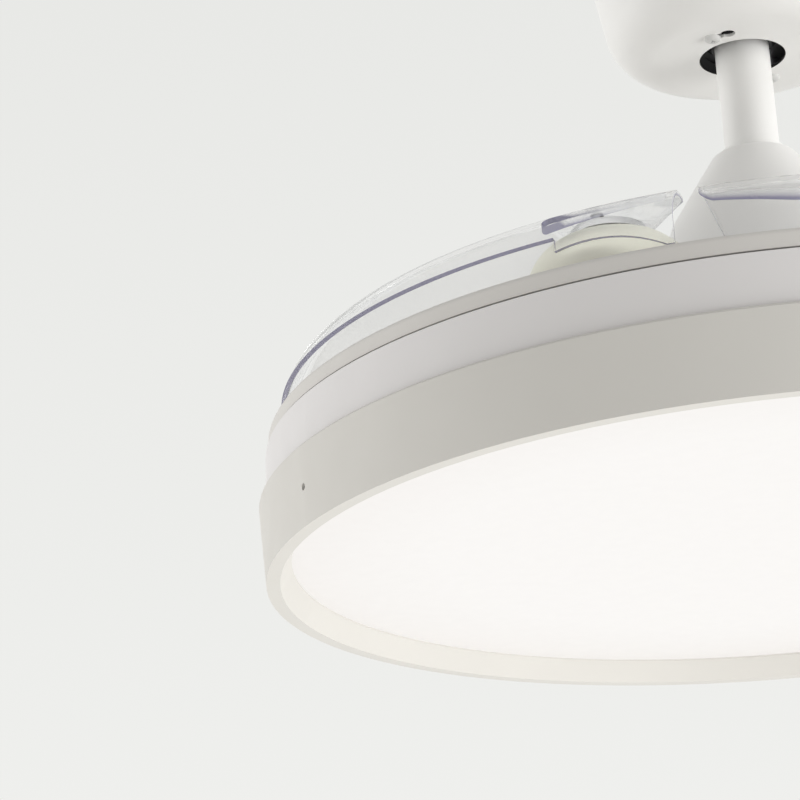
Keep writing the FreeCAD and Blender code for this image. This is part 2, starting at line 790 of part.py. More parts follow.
def make_hanger():
    """The ball that hangs in the cradle, pinned to the down rod."""
    top = "ball_level + ball_top_height"
    foot = "ball_level - ball_foot_depth"
    ball = turned("hanger_ball", [
        ("rod_radius + screw_fit", foot),
        ("sqrt(ball_radius * ball_radius - ball_foot_depth * ball_foot_depth)", foot,
         ("left", "ball_radius")),
        ("sqrt(ball_radius * ball_radius - ball_top_height * ball_top_height)", top),
        ("rod_radius + screw_fit", top),
    ])
    across = new_sketch(ball, "YZ_Plane")
    round_hole(across, "0", "ball_level", "hanger_pin_radius + screw_fit")
    pocket(ball, across, "2 * ball_radius + 2 * overrun", symmetric=True)
    screw_hole = new_sketch(ball, "YZ_Plane")
    round_hole(screw_hole, "0", "ball_level + ball_screw_height", "ball_screw_radius + screw_fit")
    pocket(ball, screw_hole, "ball_radius + overrun")
    rod = turned("downrod", [
        ("rod_radius - rod_wall", "rod_foot"),
        ("rod_radius", "rod_foot"),
        ("rod_radius", "ball_level + rod_rise"),
        ("rod_radius - rod_wall", "ball_level + rod_rise"),
    ])
    holes = new_sketch(rod, "YZ_Plane")
    round_hole(holes, "0", "ball_level", "hanger_pin_radius + screw_fit")
    round_hole(holes, "0", "yoke_foot + yoke_bolt_height", "yoke_bolt_radius + screw_fit")
    pocket(rod, holes, "2 * rod_radius + 2 * overrun", symmetric=True)
    cross_cylinder("hanger_pin", "hanger_pin_radius", "hanger_pin_length", "ball_level")
    screw = register(doc.addObject("Part::Cylinder", "Bar"), "ball_set_screw")
    screw.setExpression("Radius", bound("ball_screw_radius"))
    screw.setExpression("Height", bound("ball_screw_length"))
    screw.Placement.Rotation = FreeCAD.Rotation(FreeCAD.Vector(0, 1, 0), -90)
    screw.setExpression("Placement.Base.x", bound("-rod_radius - screw_fit"))
    screw.setExpression("Placement.Base.z", bound("ball_level + ball_screw_height"))


def make_yoke():
    """The coupling between the down rod and the motor shaft, with its bolt, clip and set screws."""
    yoke = turned("rod_yoke", [
        ("shaft_radius + screw_fit", "yoke_foot"),
        ("yoke_radius", "yoke_foot"),
        ("yoke_radius", "yoke_top"),
        ("rod_radius + screw_fit", "yoke_top"),
        ("rod_radius + screw_fit", "rod_foot"),
        ("shaft_bore_radius", "rod_foot"),
        ("shaft_bore_radius", "shaft_top"),
        ("shaft_radius + screw_fit", "shaft_top"),
    ])
    cross = new_sketch(yoke, "YZ_Plane")
    round_hole(cross, "0", "yoke_foot + yoke_bolt_height", "yoke_bolt_radius + screw_fit")
    round_hole(cross, "0", "yoke_foot + yoke_screw_height", "yoke_screw_radius + screw_fit")
    pocket(yoke, cross, "2 * yoke_radius + 2 * overrun", symmetric=True)
    bolt_level = "yoke_foot + yoke_bolt_height"
    bolt = new_body("yoke_bolt")
    shank = new_sketch(bolt, "YZ_Plane", "-yoke_radius")
    round_hole(shank, "0", bolt_level, "yoke_bolt_radius")
    pad(bolt, shank, "2 * yoke_radius + yoke_bolt_tail")
    head = new_sketch(bolt, "YZ_Plane", "-yoke_radius - yoke_bolt_head_height")
    round_hole(head, "0", bolt_level, "yoke_bolt_head_radius")
    pad(bolt, head, "yoke_bolt_head_height")
    clip_hole = new_sketch(bolt, "XZ_Plane")
    clip_x = "yoke_radius + yoke_bolt_tail / 2"
    round_hole(clip_hole, clip_x, bolt_level, "clip_radius + screw_fit")
    pocket(bolt, clip_hole, "2 * yoke_bolt_radius + 2 * overrun", symmetric=True)
    clip = new_body("yoke_clip")
    leg = new_sketch(clip, "XZ_Plane")
    round_hole(leg, clip_x, bolt_level, "clip_radius")
    pad(clip, leg, "clip_leg", symmetric=True)
    eye = new_sketch(clip, "XY_Plane", bolt_level)
    eye_y = "clip_leg / 2 + clip_eye_radius - clip_radius"
    round_hole(eye, clip_x, eye_y, "clip_eye_radius")
    round_hole(eye, clip_x, eye_y, "clip_eye_radius - 2 * clip_radius")
    pad(clip, eye, "2 * clip_radius", symmetric=True)
    screws = new_body("yoke_set_screws")
    stub = new_sketch(screws, "YZ_Plane", "rod_radius + screw_fit")
    round_hole(stub, "0", "yoke_foot + yoke_screw_height", "yoke_screw_radius")
    around(screws, pad(screws, stub, "yoke_radius - rod_radius"), "yoke_screw_count")


def make_bell():
    """The trumpet-shaped cover that hides the yoke and the motor, on a rubber ring over the yoke."""
    turned("bell_grommet", [
        ("bell_bore_radius", "yoke_top"),
        ("yoke_radius - bell_rod_gap", "yoke_top"),
        ("yoke_radius - bell_rod_gap", "bell_ceiling"),
        ("bell_bore_radius", "bell_ceiling"),
    ])
    turned("bell_cover", [
        ("bell_foot_radius - bell_wall", "bell_foot"),
        ("bell_foot_radius", "bell_foot"),
        ("bell_shoulder_radius", "bell_top", ("round", "bell_shoulder_round")),
        ("bell_neck_radius", "bell_top"),
        ("bell_neck_radius", "bell_top + bell_neck_height"),
        ("bell_bore_radius", "bell_top + bell_neck_height"),
        ("bell_bore_radius", "bell_ceiling"),
        ("yoke_radius", "bell_ceiling"),
    ])


def make_bearing(label, foot):
    """A shielded ball bearing, its two races standing proud of the shields."""
    top = "%s + bearing_width" % foot
    turned(label, [
        ("shaft_radius + screw_fit", foot),
        ("shaft_radius + bearing_race", foot),
        ("shaft_radius + bearing_race", "%s + bearing_shield" % foot),
        ("bearing_radius - bearing_race", "%s + bearing_shield" % foot),
        ("bearing_radius - bearing_race", foot),
        ("bearing_radius", foot),
        ("bearing_radius", top),
        ("bearing_radius - bearing_race", top),
        ("bearing_radius - bearing_race", "%s - bearing_shield" % top),
        ("shaft_radius + bearing_race", "%s - bearing_shield" % top),
        ("shaft_radius + bearing_race", top),
        ("shaft_radius + screw_fit", top),
    ])


def make_shaft():
    """The fixed hollow shaft, and the two bearings that the rotor turns on."""
    turned("motor_shaft", [
        ("shaft_bore_radius", "shaft_foot"),
        ("shaft_radius", "shaft_foot"),
        ("shaft_radius", "lamp_plate_top"),
        ("shaft_collar_radius", "lamp_plate_top"),
        ("shaft_collar_radius", "lower_bearing_foot"),
        ("shaft_radius", "lower_bearing_foot"),
        ("shaft_radius", "shaft_top"),
        ("shaft_bore_radius", "shaft_top"),
    ])
    make_bearing("lower_bearing", "lower_bearing_foot")
    make_bearing("upper_bearing", "upper_bearing_foot")


def make_stator():
    """The laminated core with its teeth, and a coil on every tooth."""
    foot = "stator_middle - stator_height / 2"
    core = new_body("stator_core")
    hub = new_sketch(core, "XY_Plane", foot)
    round_hole(hub, "0", "0", "stator_hub_radius")
    round_hole(hub, "0", "0", "shaft_radius + screw_fit")
    pad(core, hub, "stator_height")
    tooth = new_sketch(core, "XY_Plane", foot)
    tip = "sqrt(stator_radius * stator_radius - stator_shoe_width * stator_shoe_width / 4)"
    neck = tip + " - stator_shoe_depth"
    outline(tooth, [
        ("stator_hub_radius - overrun", "-stator_tooth_width / 2"),
        (neck, "-stator_tooth_width / 2"),
        (neck, "-stator_shoe_width / 2"),
        (tip, "-stator_shoe_width / 2", ("left", "stator_radius")),
        (tip, "stator_shoe_width / 2"),
        (neck, "stator_shoe_width / 2"),
        (neck, "stator_tooth_width / 2"),
        ("stator_hub_radius - overrun", "stator_tooth_width / 2"),
    ])
    around(core, pad(core, tooth, "stator_height"), "stator_teeth")
    coils = new_body("stator_windings")
    loop = new_sketch(coils, "YZ_Plane", "stator_hub_radius + play")
    wide = "stator_tooth_width / 2 + play"
    high = "stator_height / 2 + play"
    outline(loop, rectangle("-(%s + coil_build)" % wide, "stator_middle - (%s + coil_build)" % high,
                            "%s + coil_build" % wide, "stator_middle + %s + coil_build" % high,
                            "coil_build"))
    outline(loop, rectangle("-(%s)" % wide, "stator_middle - (%s)" % high,
                            wide, "stator_middle + %s" % high))
    around(coils, pad(coils, loop, "coil_length"), "stator_teeth")


def make_rotor():
    """The two halves of the rotor's case, its magnets and its screws."""
    flange = "motor_radius + flange_reach"
    top = turned("rotor_top_case", [
        ("boss_lip_radius", "rotor_top - motor_plate"),
        ("case_inner_radius", "rotor_top - motor_plate"),
        ("case_inner_radius", "split_level"),
        (flange, "split_level"),
        (flange, "split_level + flange_thickness"),
        ("motor_radius", "split_level + flange_thickness"),
        ("motor_radius", "rotor_top", ("round", "motor_wall")),
        ("boss_radius", "rotor_top"),
        ("boss_radius", "upper_boss_top"),
        ("seat_radius", "upper_boss_top"),
        ("seat_radius", "rotor_top - motor_plate + boss_lip"),
        ("boss_lip_radius", "rotor_top - motor_plate + boss_lip"),
    ])
    bottom = turned("rotor_bottom_case", [
        ("boss_lip_radius", "lower_bearing_foot - play - boss_lip"),
        ("boss_radius", "lower_bearing_foot - play - boss_lip"),
        ("boss_radius", "tray_top"),
        ("motor_radius + base_flange_reach", "tray_top"),
        ("motor_radius + base_flange_reach", "tray_top + base_flange_thickness"),
        ("motor_radius", "tray_top + base_flange_thickness"),
        ("motor_radius", "split_level - flange_thickness"),
        (flange, "split_level - flange_thickness"),
        (flange, "split_level"),
        ("case_inner_radius", "split_level"),
        ("case_inner_radius", "tray_top + motor_plate"),
        ("seat_radius", "tray_top + motor_plate"),
        ("seat_radius", "lower_bearing_foot - play"),
        ("boss_lip_radius", "lower_bearing_foot - play"),
    ])
    hole = "small_screw_radius + screw_fit"
    hole_ring(top, "case_screw_circle", hole, "case_screw_count", "split_level + flange_thickness",
              "flange_thickness")
    hole_ring(bottom, "case_screw_circle", hole, "case_screw_count", "split_level", "flange_thickness")
    hole_ring(bottom, "tray_screw_circle", hole, "case_screw_count", "tray_top + base_flange_thickness",
              "base_flange_thickness")
    screw_ring("rotor_case_screws", "case_screw_circle", "split_level + flange_thickness",
               "small_screw_radius", "2 * flange_thickness", "small_screw_head_radius",
               "small_screw_head_height", "case_screw_count")
    screw_ring("tray_screws", "tray_screw_circle", "tray_top + base_flange_thickness", "small_screw_radius",
               "base_flange_thickness + tray_plate", "small_screw_head_radius", "small_screw_head_height",
               "case_screw_count")
    magnets = new_body("rotor_magnets")
    foot = "stator_middle - magnet_height / 2"
    inner = "case_inner_radius - magnet_thickness"
    magnet = revolution(magnets, rectangle(inner, foot, "case_inner_radius", foot + " + magnet_height"),
                        angle="magnet_angle")
    around(magnets, magnet, "magnet_count")


def make_tray():
    """The turning dish that carries the blades: bored for the motor's boss, the screws and the pivots."""
    tray = turned("blade_tray", [
        ("boss_radius + screw_fit", "tray_underside"),
        ("tray_edge_radius - tray_wall", "tray_underside"),
        ("tray_foot_radius - tray_wall", "tray_foot"),
        ("tray_foot_radius", "tray_foot"),
        ("tray_edge_radius", "tray_top", ("round", "tray_round")),
        ("boss_radius + screw_fit", "tray_top"),
    ])
    hole_ring(tray, "tray_screw_circle", "small_screw_radius + screw_fit", "case_screw_count", "tray_top",
              "tray_plate")
    sketch = new_sketch(tray, "XY_Plane", "tray_top")
    for arm in range(int(number("blade_count"))):
        round_hole(sketch, "pivot_circle * cos(%s)" % arm_angle(arm),
                   "pivot_circle * sin(%s)" % arm_angle(arm), "bush_radius + screw_fit")
    pocket(tray, sketch, "tray_plate")


def make_hub(arm):
    """A blade's white dome on the tray and the return spring inside it."""
    cover = turned("hub_cover_%d" % (arm + 1), [
        ("hub_radius", "tray_top"),
        ("hub_radius", "hub_top", ("round", "hub_round")),
        ("hub_hole_radius", "hub_top"),
        ("hub_hole_radius", "hub_top - hub_wall"),
        ("hub_radius - hub_wall", "hub_top - hub_wall", ("round", "hub_round - hub_wall")),
        ("hub_radius - hub_wall", "tray_top"),
    ])
    place_on_pivot(cover, arm)
    spring = new_body("return_spring_%d" % (arm + 1))
    wire = new_sketch(spring, "XZ_Plane")
    wire_level = "tray_top + spring_wire_radius + play"
    corners = int(number("spring_wire_sides"))
    outline(wire, [
        ("spring_radius + spring_wire_radius * cos((%d + 0.5) * 360 / spring_wire_sides)" % corner,
         "%s + spring_wire_radius * sin((%d + 0.5) * 360 / spring_wire_sides)" % (wire_level, corner))
        for corner in range(corners)
    ])
    coil = spring.newObject("PartDesign::AdditiveHelix", "Coil")
    coil.Profile = wire
    coil.ReferenceAxis = (wire, ["V_Axis"])
    coil.Mode = "pitch-turns-angle"
    coil.setExpression("Pitch", bound("spring_pitch"))
    coil.setExpression("Turns", bound("spring_turns"))
    place_on_pivot(spring, arm)


def make_bushes():
    """The flanged bushes in the tray that the blade pivots turn in."""
    body = new_body("pivot_bushes")
    for arm in range(int(number("blade_count"))):
        x = "pivot_circle * cos(%s)" % arm_angle(arm)
        y = "pivot_circle * sin(%s)" % arm_angle(arm)
        for level, radius, height in (
                ("tray_underside", "bush_radius", "tray_plate + bush_height"),
                ("tray_top", "bush_flange_radius", "bush_flange")):
            sketch = new_sketch(body, "XY_Plane", level)
            round_hole(sketch, x, y, radius)
            round_hole(sketch, x, y, "pivot_radius + running_fit")
            pad(body, sketch, height)


def add_tooth(body, pitch_radius):
    """One trapezoid tooth, which starts inside the wheel's rim."""
    sketch = new_sketch(body, "XY_Plane", "gear_foot")
    root = "%s - dedendum" % pitch_radius
    tip = "%s + addendum" % pitch_radius
    outline(sketch, [
        (root + " - overrun", "-root_half"),
        (root, "-root_half"),
        (tip, "-tip_half"),
        (tip, "tip_half"),
        (root, "root_half"),
        (root + " - overrun", "root_half"),
    ])
    return pad(body, sketch, "gear_thickness")


def make_pinion(arm):
    """The pinion at the foot of a blade's pivot."""
    body = new_body("blade_pinion_%d" % (arm + 1))
    disc = new_sketch(body, "XY_Plane", "gear_foot")
    round_hole(disc, "0", "0", "pinion_pitch_radius - dedendum")
    round_hole(disc, "0", "0", "pivot_radius + screw_fit")
    pad(body, disc, "gear_thickness")
    around(body, add_tooth(body, "pinion_pitch_radius"), "pinion_teeth")
    place_on_pivot(body, arm)


def make_timing_ring():
    """The ring that opens the blades together: a toothed stretch for each pinion, and its guides."""
    body = new_body("sync_ring")
    rim = new_sketch(body, "XY_Plane", "gear_foot")
    round_hole(rim, "0", "0", "ring_pitch_radius - dedendum")
    round_hole(rim, "0", "0", "timing_ring_inner")
    pad(body, rim, "gear_thickness")
    tooth = add_tooth(body, "ring_pitch_radius")
    row = body.newObject("PartDesign::PolarPattern", "Row")
    row.Axis = (origin_feature(body, "Z_Axis"), [""])
    row.setExpression("Angle", bound("(sector_teeth - 1) * 360 / ring_teeth"))
    row.setExpression("Occurrences", bound("sector_teeth"))
    rows = body.newObject("PartDesign::PolarPattern", "Rows")
    rows.Axis = (origin_feature(body, "Z_Axis"), [""])
    rows.Angle = 360
    rows.setExpression("Occurrences", bound("blade_count"))
    teeth = body.newObject("PartDesign::MultiTransform", "Teeth")
    teeth.Originals = [tooth]
    teeth.Transformations = [row, rows]
    body.Tip = teeth
    turn_piece(body, "pivot_azimuth - sector_lead_teeth * 360 / ring_teeth")
    guides = new_body("sync_guides")
    post = new_sketch(guides, "XY_Plane", "gear_foot - play")
    round_hole(post, "guide_circle", "0", "guide_radius")
    around(guides, pad(guides, post, "gear_thickness + gear_play + play"), "guide_count")
    lip = new_sketch(guides, "XY_Plane", "gear_foot - play - guide_lip_thickness")
    round_hole(lip, "guide_circle", "0", "guide_radius + guide_lip")
    around(guides, pad(guides, lip, "guide_lip_thickness"), "guide_count")


def make_pivot(arm):
    """The steel pivot that a blade and its pinion are fixed to."""
    pivot = turned("blade_pivot_%d" % (arm + 1), [
        ("0", "gear_foot - play"),
        ("pivot_radius", "gear_foot - play"),
        ("pivot_radius", "bush_top + play"),
        ("pivot_collar_radius", "bush_top + play"),
        ("pivot_collar_radius", "pivot_flange_foot"),
        ("pivot_flange_radius", "pivot_flange_foot"),
        ("pivot_flange_radius", "pivot_top"),
        ("0", "pivot_top"),
    ])
    hole_ring(pivot, "blade_screw_circle", "blade_screw_radius + screw_fit", "blade_screw_count",
              "pivot_top", "pivot_flange")
    place_on_pivot(pivot, arm)


def make_blade(arm):
    """A clear blade: a crowned sheet with a steep outer band, an arched skirt and a slot over its hub."""
    body = new_body("blade_%d" % (arm + 1))
    edge_reach = "blade_half * sin(blade_band_angle)"
    edge_lift = "blade_half * cos(blade_band_angle)"
    end_lift = "blade_half / cos(blade_crown_angle)"
    revolution(body, [
        ("blade_edge_radius - %s" % edge_reach, "blade_edge_level - %s" % edge_lift),
        ("blade_edge_radius + %s" % edge_reach, "blade_edge_level + %s" % edge_lift),
        ("blade_knee_radius + knee_reach", "blade_knee_level + knee_lift",
         ("round", "blade_bend_radius + blade_half")),
        ("blade_inner_radius", "blade_inner_level + %s" % end_lift),
        ("blade_inner_radius", "blade_inner_level - %s" % end_lift),
        ("blade_knee_radius - knee_reach", "blade_knee_level - knee_lift",
         ("round", "blade_bend_radius - blade_half")),
    ], angle="blade_span", clockwise=True)
    skirt_outer = "blade_edge_radius + %s" % edge_reach
    revolution(body, rectangle(skirt_outer + " - blade_thickness", "tray_top + skirt_gap", skirt_outer,
                               "blade_edge_level + %s" % edge_lift), angle="skirt_span", clockwise=True)
    pivot_x, pivot_y = polar("pivot_circle", "root_lead")
    arch = new_sketch(body, "YZ_Plane", "pivot_circle")
    round_hole(arch, pivot_y, "tray_top + arch_height - arch_radius", "arch_radius")
    pocket(body, arch, "blade_edge_radius", upward=True)
    boss = new_sketch(body, "XY_Plane", "pivot_top")
    round_hole(boss, pivot_x, pivot_y, "pivot_flange_radius")
    pad(body, boss, "blade_pivot_level - pivot_top")
    trim_blade(body)
    slot = new_sketch(body, "XY_Plane", "blade_inner_level + overrun")
    slot_round = "((slot_outer_radius - slot_inner_radius) / 2)"
    slot_middle = "(slot_outer_radius + slot_inner_radius) / 2"
    slot_nose = "slot_end + 180 / pi * %s / slot_outer_radius" % slot_round
    outline(slot, [
        polar("slot_tail_radius", "slot_start"),
        polar("slot_inner_radius", "slot_start") + (("right", "slot_inner_radius"),),
        polar("slot_inner_radius", "slot_end") + (("left", slot_round),),
        polar(slot_middle, slot_nose) + (("left", slot_round),),
        polar("slot_outer_radius", "slot_end") + (("left", "slot_outer_radius"),),
    ])
    pocket(body, slot, "blade_inner_level + overrun - blade_edge_level - %s" % edge_lift)
    for radius, foot in (("blade_screw_head_radius + play", "blade_pivot_level"),
                         ("blade_screw_radius + screw_fit", "pivot_top")):
        holes = new_sketch(body, "XY_Plane", "blade_inner_level + overrun")
        for screw in range(int(number("blade_screw_count"))):
            turn = "(root_lead - %d * 360 / blade_screw_count)" % screw
            round_hole(holes, "%s + blade_screw_circle * cos(%s)" % (pivot_x, turn),
                       "%s - blade_screw_circle * sin(%s)" % (pivot_y, turn), radius)
        pocket(body, holes, "blade_inner_level + overrun - %s" % foot)
    turn_piece(body, "%s + root_lead" % arm_angle(arm))


def trim_blade(body):
    """Cuts the sheet to the blade's plan: tapered tip, rounded corners and a drawn-in root."""
    sketch = new_sketch(body, "XY_Plane", "blade_inner_level + 2 * overrun")
    frame = "(blade_edge_radius + trim_margin)"
    outline(sketch, rectangle("-" + frame, "-" + frame, frame, frame))
    outer = "blade_edge_radius + blade_thickness"
    tip = "%s - tip_taper" % outer
    tip_angle = "blade_span - play"
    inner = "blade_inner_radius - overrun"
    corner_angle = "%s - tip_corner * 180 / (pi * blade_edge_radius)" % tip_angle
    inner_corner_angle = "%s - tip_inner_corner * 180 / (pi * blade_inner_radius)" % tip_angle
    outline(sketch, [
        (outer, "overrun", ("right", outer)),
        polar(outer, "tip_taper_start") + (("right", "tip_taper_radius"),),
        polar(tip, corner_angle) + (("right", "tip_corner_radius"),),
        polar(tip + " - tip_corner", tip_angle),
        polar(inner + " + tip_inner_corner", tip_angle) + (("right", "tip_inner_corner"),),
        polar(inner, inner_corner_angle) + (("left", inner),),
        polar(inner, "root_round_start") + (("right", "root_round_radius"),),
        polar("root_waist_radius", "root_waist_lead"),
        ("root_end_radius", "overrun"),
    ])
    pocket(body, sketch, "blade_inner_level + 2 * overrun - tray_top")


def make_blade_screws(arm):
    """The screws that hold a blade to its pivot's flange."""
    body = screw_ring("blade_screws_%d" % (arm + 1), "blade_screw_circle", "blade_pivot_level",
                      "blade_screw_radius", "blade_pivot_level - pivot_flange_foot",
                      "blade_screw_head_radius", "blade_screw_head_height", "blade_screw_count")
    place_on_pivot(body, arm)


def make_lamp_drum():
    """The fixed drum under the tray: pan, plate on the shaft, ring, opal disc and their screws."""
    pan = turned("lamp_pan", [
        ("skirt_radius", "ring_top"),
        ("pan_radius", "ring_top"),
        ("pan_top_radius", "pan_top"),
        ("pan_top_radius - pan_wall", "pan_top"),
        ("pan_top_radius - pan_wall", "pan_plate_top"),
        ("shaft_radius + screw_fit", "pan_plate_top"),
        ("shaft_radius + screw_fit", "pan_plate_foot"),
        ("skirt_radius - pan_skirt_wall", "pan_plate_foot"),
        ("skirt_radius - pan_skirt_wall", "diffuser_top + play"),
        ("skirt_radius", "diffuser_top + play"),
    ])
    ring = turned("lamp_ring", [
        ("lip_radius", "drum_foot"),
        ("lamp_ring_foot_radius", "drum_foot"),
        ("lamp_ring_radius", "ring_top - lamp_bevel"),
        ("lamp_ring_radius - lamp_bevel", "ring_top"),
        ("ledge_radius", "ring_top"),
        ("ledge_radius", "ledge_level"),
        ("bezel_radius", "ledge_level"),
        ("bezel_radius", "ledge_level - bezel_edge"),
    ])
    turned("diffuser", [
        ("0", "ledge_level"),
        ("ledge_radius - diffuser_room", "ledge_level"),
        ("ledge_radius - diffuser_room", "diffuser_top"),
        ("0", "diffuser_top"),
    ])
    plate = turned("lamp_plate", [
        ("shaft_radius + screw_fit", "pan_plate_top"),
        ("lamp_plate_radius", "pan_plate_top"),
        ("lamp_plate_radius", "lamp_plate_top"),
        ("shaft_radius + screw_fit", "lamp_plate_top"),
    ])
    hole = "small_screw_radius + screw_fit"
    hole_ring(plate, "plate_screw_circle", hole, "plate_screw_count", "lamp_plate_top",
              "lamp_plate_thickness")
    hole_ring(pan, "plate_screw_circle", hole, "plate_screw_count", "pan_plate_top", "pan_plate")
    plate_screws = screw_ring("lamp_plate_screws", "plate_screw_circle", "lamp_plate_top",
                              "small_screw_radius", "lamp_plate_thickness + pan_plate",
                              "small_screw_head_radius", "small_screw_head_height", "plate_screw_count")
    skirt_inner = "skirt_radius - pan_skirt_wall"
    screw_level = "drum_foot + ring_screw_height"
    for body in (ring, pan):
        sketch = new_sketch(body, "YZ_Plane", skirt_inner + " - overrun")
        round_hole(sketch, "0", screw_level, "ring_screw_radius + screw_fit")
        around(body, pocket(body, sketch, "pan_radius", upward=True), "ring_screw_count")
    screws = new_body("lamp_ring_screws")
    sketch = new_sketch(screws, "YZ_Plane", skirt_inner)
    round_hole(sketch, "0", screw_level, "ring_screw_radius")
    around(screws, pad(screws, sketch, "lamp_ring_foot_radius - ring_screw_sink - (%s)" % skirt_inner),
           "ring_screw_count")
    for body in (ring, pan, plate, plate_screws, screws):
        turn_piece(body, "ring_screw_azimuth")


def make_shaft_nut():
    """The nut that clamps the lamp's plate and pan against the shaft's collar."""
    hexagon = doc.addObject("Part::Prism", "Hexagon")
    hexagon.Polygon = 6
    bore = doc.addObject("Part::Cylinder", "Bore")
    hexagon.setExpression("Circumradius", bound("shaft_nut_radius"))
    bore.setExpression("Radius", bound("shaft_radius + screw_fit"))
    for solid in (hexagon, bore):
        solid.setExpression("Height", bound("shaft_nut_height"))
        solid.setExpression("Placement.Base.z", bound("pan_plate_foot - shaft_nut_height"))
    nut = register(doc.addObject("Part::Cut", "Nut"), "shaft_nut")
    nut.Base = hexagon
    nut.Tool = bore


def make_lamp_electrics():
    """The light-emitting board under the pan, its chips and the driver box beside the shaft."""
    board_foot = "pan_plate_foot - led_board_thickness"
    turned("led_board", [
        ("led_board_inner_radius", board_foot),
        ("led_board_outer_radius", board_foot),
        ("led_board_outer_radius", "pan_plate_foot"),
        ("led_board_inner_radius", "pan_plate_foot"),
    ])
    chips = new_body("led_chips")
    for ring in range(int(number("led_ring_count"))):
        radius = "led_ring_first_radius + %d * led_ring_step" % ring
        sketch = new_sketch(chips, "XY_Plane", board_foot)
        outline(sketch, rectangle(radius, "-led_chip / 2", radius + " + led_chip", "led_chip / 2"))
        around(chips, pad(chips, sketch, "led_chip_height", downward=True),
               "led_first_count + %d * led_count_step" % ring)
    block("led_driver", "-driver_length / 2", "driver_offset - driver_width / 2", "driver_length / 2",
          "driver_offset + driver_width / 2", "pan_plate_foot - driver_height", "driver_height",
          "driver_corner")


make_bracket()
make_canopy()
make_canopy_screws()
make_receiver()
make_hanger()
make_yoke()
make_bell()
make_shaft()
make_stator()
make_rotor()
make_tray()
make_bushes()
make_timing_ring()
make_lamp_drum()
make_shaft_nut()
make_lamp_electrics()
for arm in range(int(number("blade_count"))):
    make_hub(arm)
    make_pivot(arm)
    make_pinion(arm)
    make_blade(arm)
    make_blade_screws(arm)

doc.recompute()

for item in doc.Objects:
    if "Invalid" in item.State or "Error" in item.State:
        raise RuntimeError("%s (%s) failed: %s" % (item.Label, item.Name, item.State))
for piece in pieces:
    if piece.Shape.isNull() or not piece.Shape.isValid():
        raise RuntimeError("%s has no valid shape" % piece.Label)

os.makedirs("parts", exist_ok=True)
for piece in pieces:
    piece.Shape.exportStep(os.path.join("parts", piece.Label + ".step"))
    print(piece.Label, len(piece.Shape.Solids), "solids", round(piece.Shape.Volume), "mm3")
print(len(pieces), "pieces")
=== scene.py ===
# %% [markdown]
# A ceiling fan whose clear blades fold round a lamp drum.
# The solids come from CAD, already at their real size, so this lesson gives them their finishes,
# and makes again the few pieces that a machine drawing keeps plain: screws, coils, springs, lamp
# chips and the clear blades with their cut edges. The frame is loaded first.

# %% Load the frame
import math
import bmesh
import bpy
from mathutils import Matrix, Vector


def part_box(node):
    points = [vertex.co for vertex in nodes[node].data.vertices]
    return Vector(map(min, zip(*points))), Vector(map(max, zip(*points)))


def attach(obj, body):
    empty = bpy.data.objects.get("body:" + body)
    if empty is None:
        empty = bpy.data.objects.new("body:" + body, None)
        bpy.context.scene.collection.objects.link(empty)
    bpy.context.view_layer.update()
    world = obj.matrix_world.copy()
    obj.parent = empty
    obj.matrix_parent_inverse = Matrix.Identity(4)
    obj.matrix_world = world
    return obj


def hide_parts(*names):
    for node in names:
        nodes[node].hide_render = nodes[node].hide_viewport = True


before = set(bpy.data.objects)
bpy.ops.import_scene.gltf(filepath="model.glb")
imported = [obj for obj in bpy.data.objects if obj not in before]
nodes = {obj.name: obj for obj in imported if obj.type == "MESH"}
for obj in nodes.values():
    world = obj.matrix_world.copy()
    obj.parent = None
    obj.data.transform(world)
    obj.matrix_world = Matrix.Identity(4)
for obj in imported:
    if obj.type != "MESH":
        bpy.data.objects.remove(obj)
scene = bpy.context.scene
scene.view_settings.view_transform = "Standard"
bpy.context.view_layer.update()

# %% [markdown]
# The photographer stands below the fan and a little to one side of it, with a long lens, and holds
# the camera slightly tilted. The place and the tilt were worked out from the rims of the drum, the
# hole in the canopy and the down rod. Building the camera's matrix from its own right, up and
# backward directions is clearer than three turns whose order matters.

# %% Camera
STAND_AZIMUTH = math.radians(-63.7)
STAND_ELEVATION = math.radians(-18.57)
STAND_DISTANCE = 1.446
STAND_CENTRE = Vector((0, 0, -0.230))
AIM_HEADING = math.radians(123.88)
AIM_PITCH = math.radians(18.76)
CAMERA_ROLL = math.radians(-3.67)
SENSOR_WIDTH = 36.0
LENS_LENGTH = 134.8
FARTHEST_SEEN = 100.0
UP = Vector((0, 0, 1))


def direction(azimuth, elevation):
    """A unit vector that points at an azimuth and an elevation."""
    level = math.cos(elevation)
    return Vector((math.cos(azimuth) * level, math.sin(azimuth) * level, math.sin(elevation)))


def looking_matrix(place, forward, roll):
    """The matrix of a camera or lamp at a place that looks forward."""
    right = forward.cross(UP).normalized()
    above = right.cross(forward)
    turned_right = right * math.cos(roll) + above * math.sin(roll)
    turned_above = above * math.cos(roll) - right * math.sin(roll)
    matrix = Matrix((turned_right, turned_above, -forward)).transposed().to_4x4()
    matrix.translation = place
    return matrix


camera_data = bpy.data.cameras.new("photo_camera")
camera_data.sensor_width = SENSOR_WIDTH
camera_data.lens = LENS_LENGTH
camera_data.clip_end = FARTHEST_SEEN
camera = bpy.data.objects.new("photo_camera", camera_data)
scene.collection.objects.link(camera)
camera_place = STAND_CENTRE + direction(STAND_AZIMUTH, STAND_ELEVATION) * STAND_DISTANCE
camera.matrix_world = looking_matrix(camera_place, direction(AIM_HEADING, AIM_PITCH), CAMERA_ROLL)
scene.camera = camera
print("camera at", [round(value, 3) for value in camera_place])

# %% [markdown]
# The backdrop, the finishes and the trees that set screws are all made of nodes. A node is added by
# its kind, and its fixed numbers and colours go on its own sockets, so one helper does both. A
# colour ramp also has two stops to set.

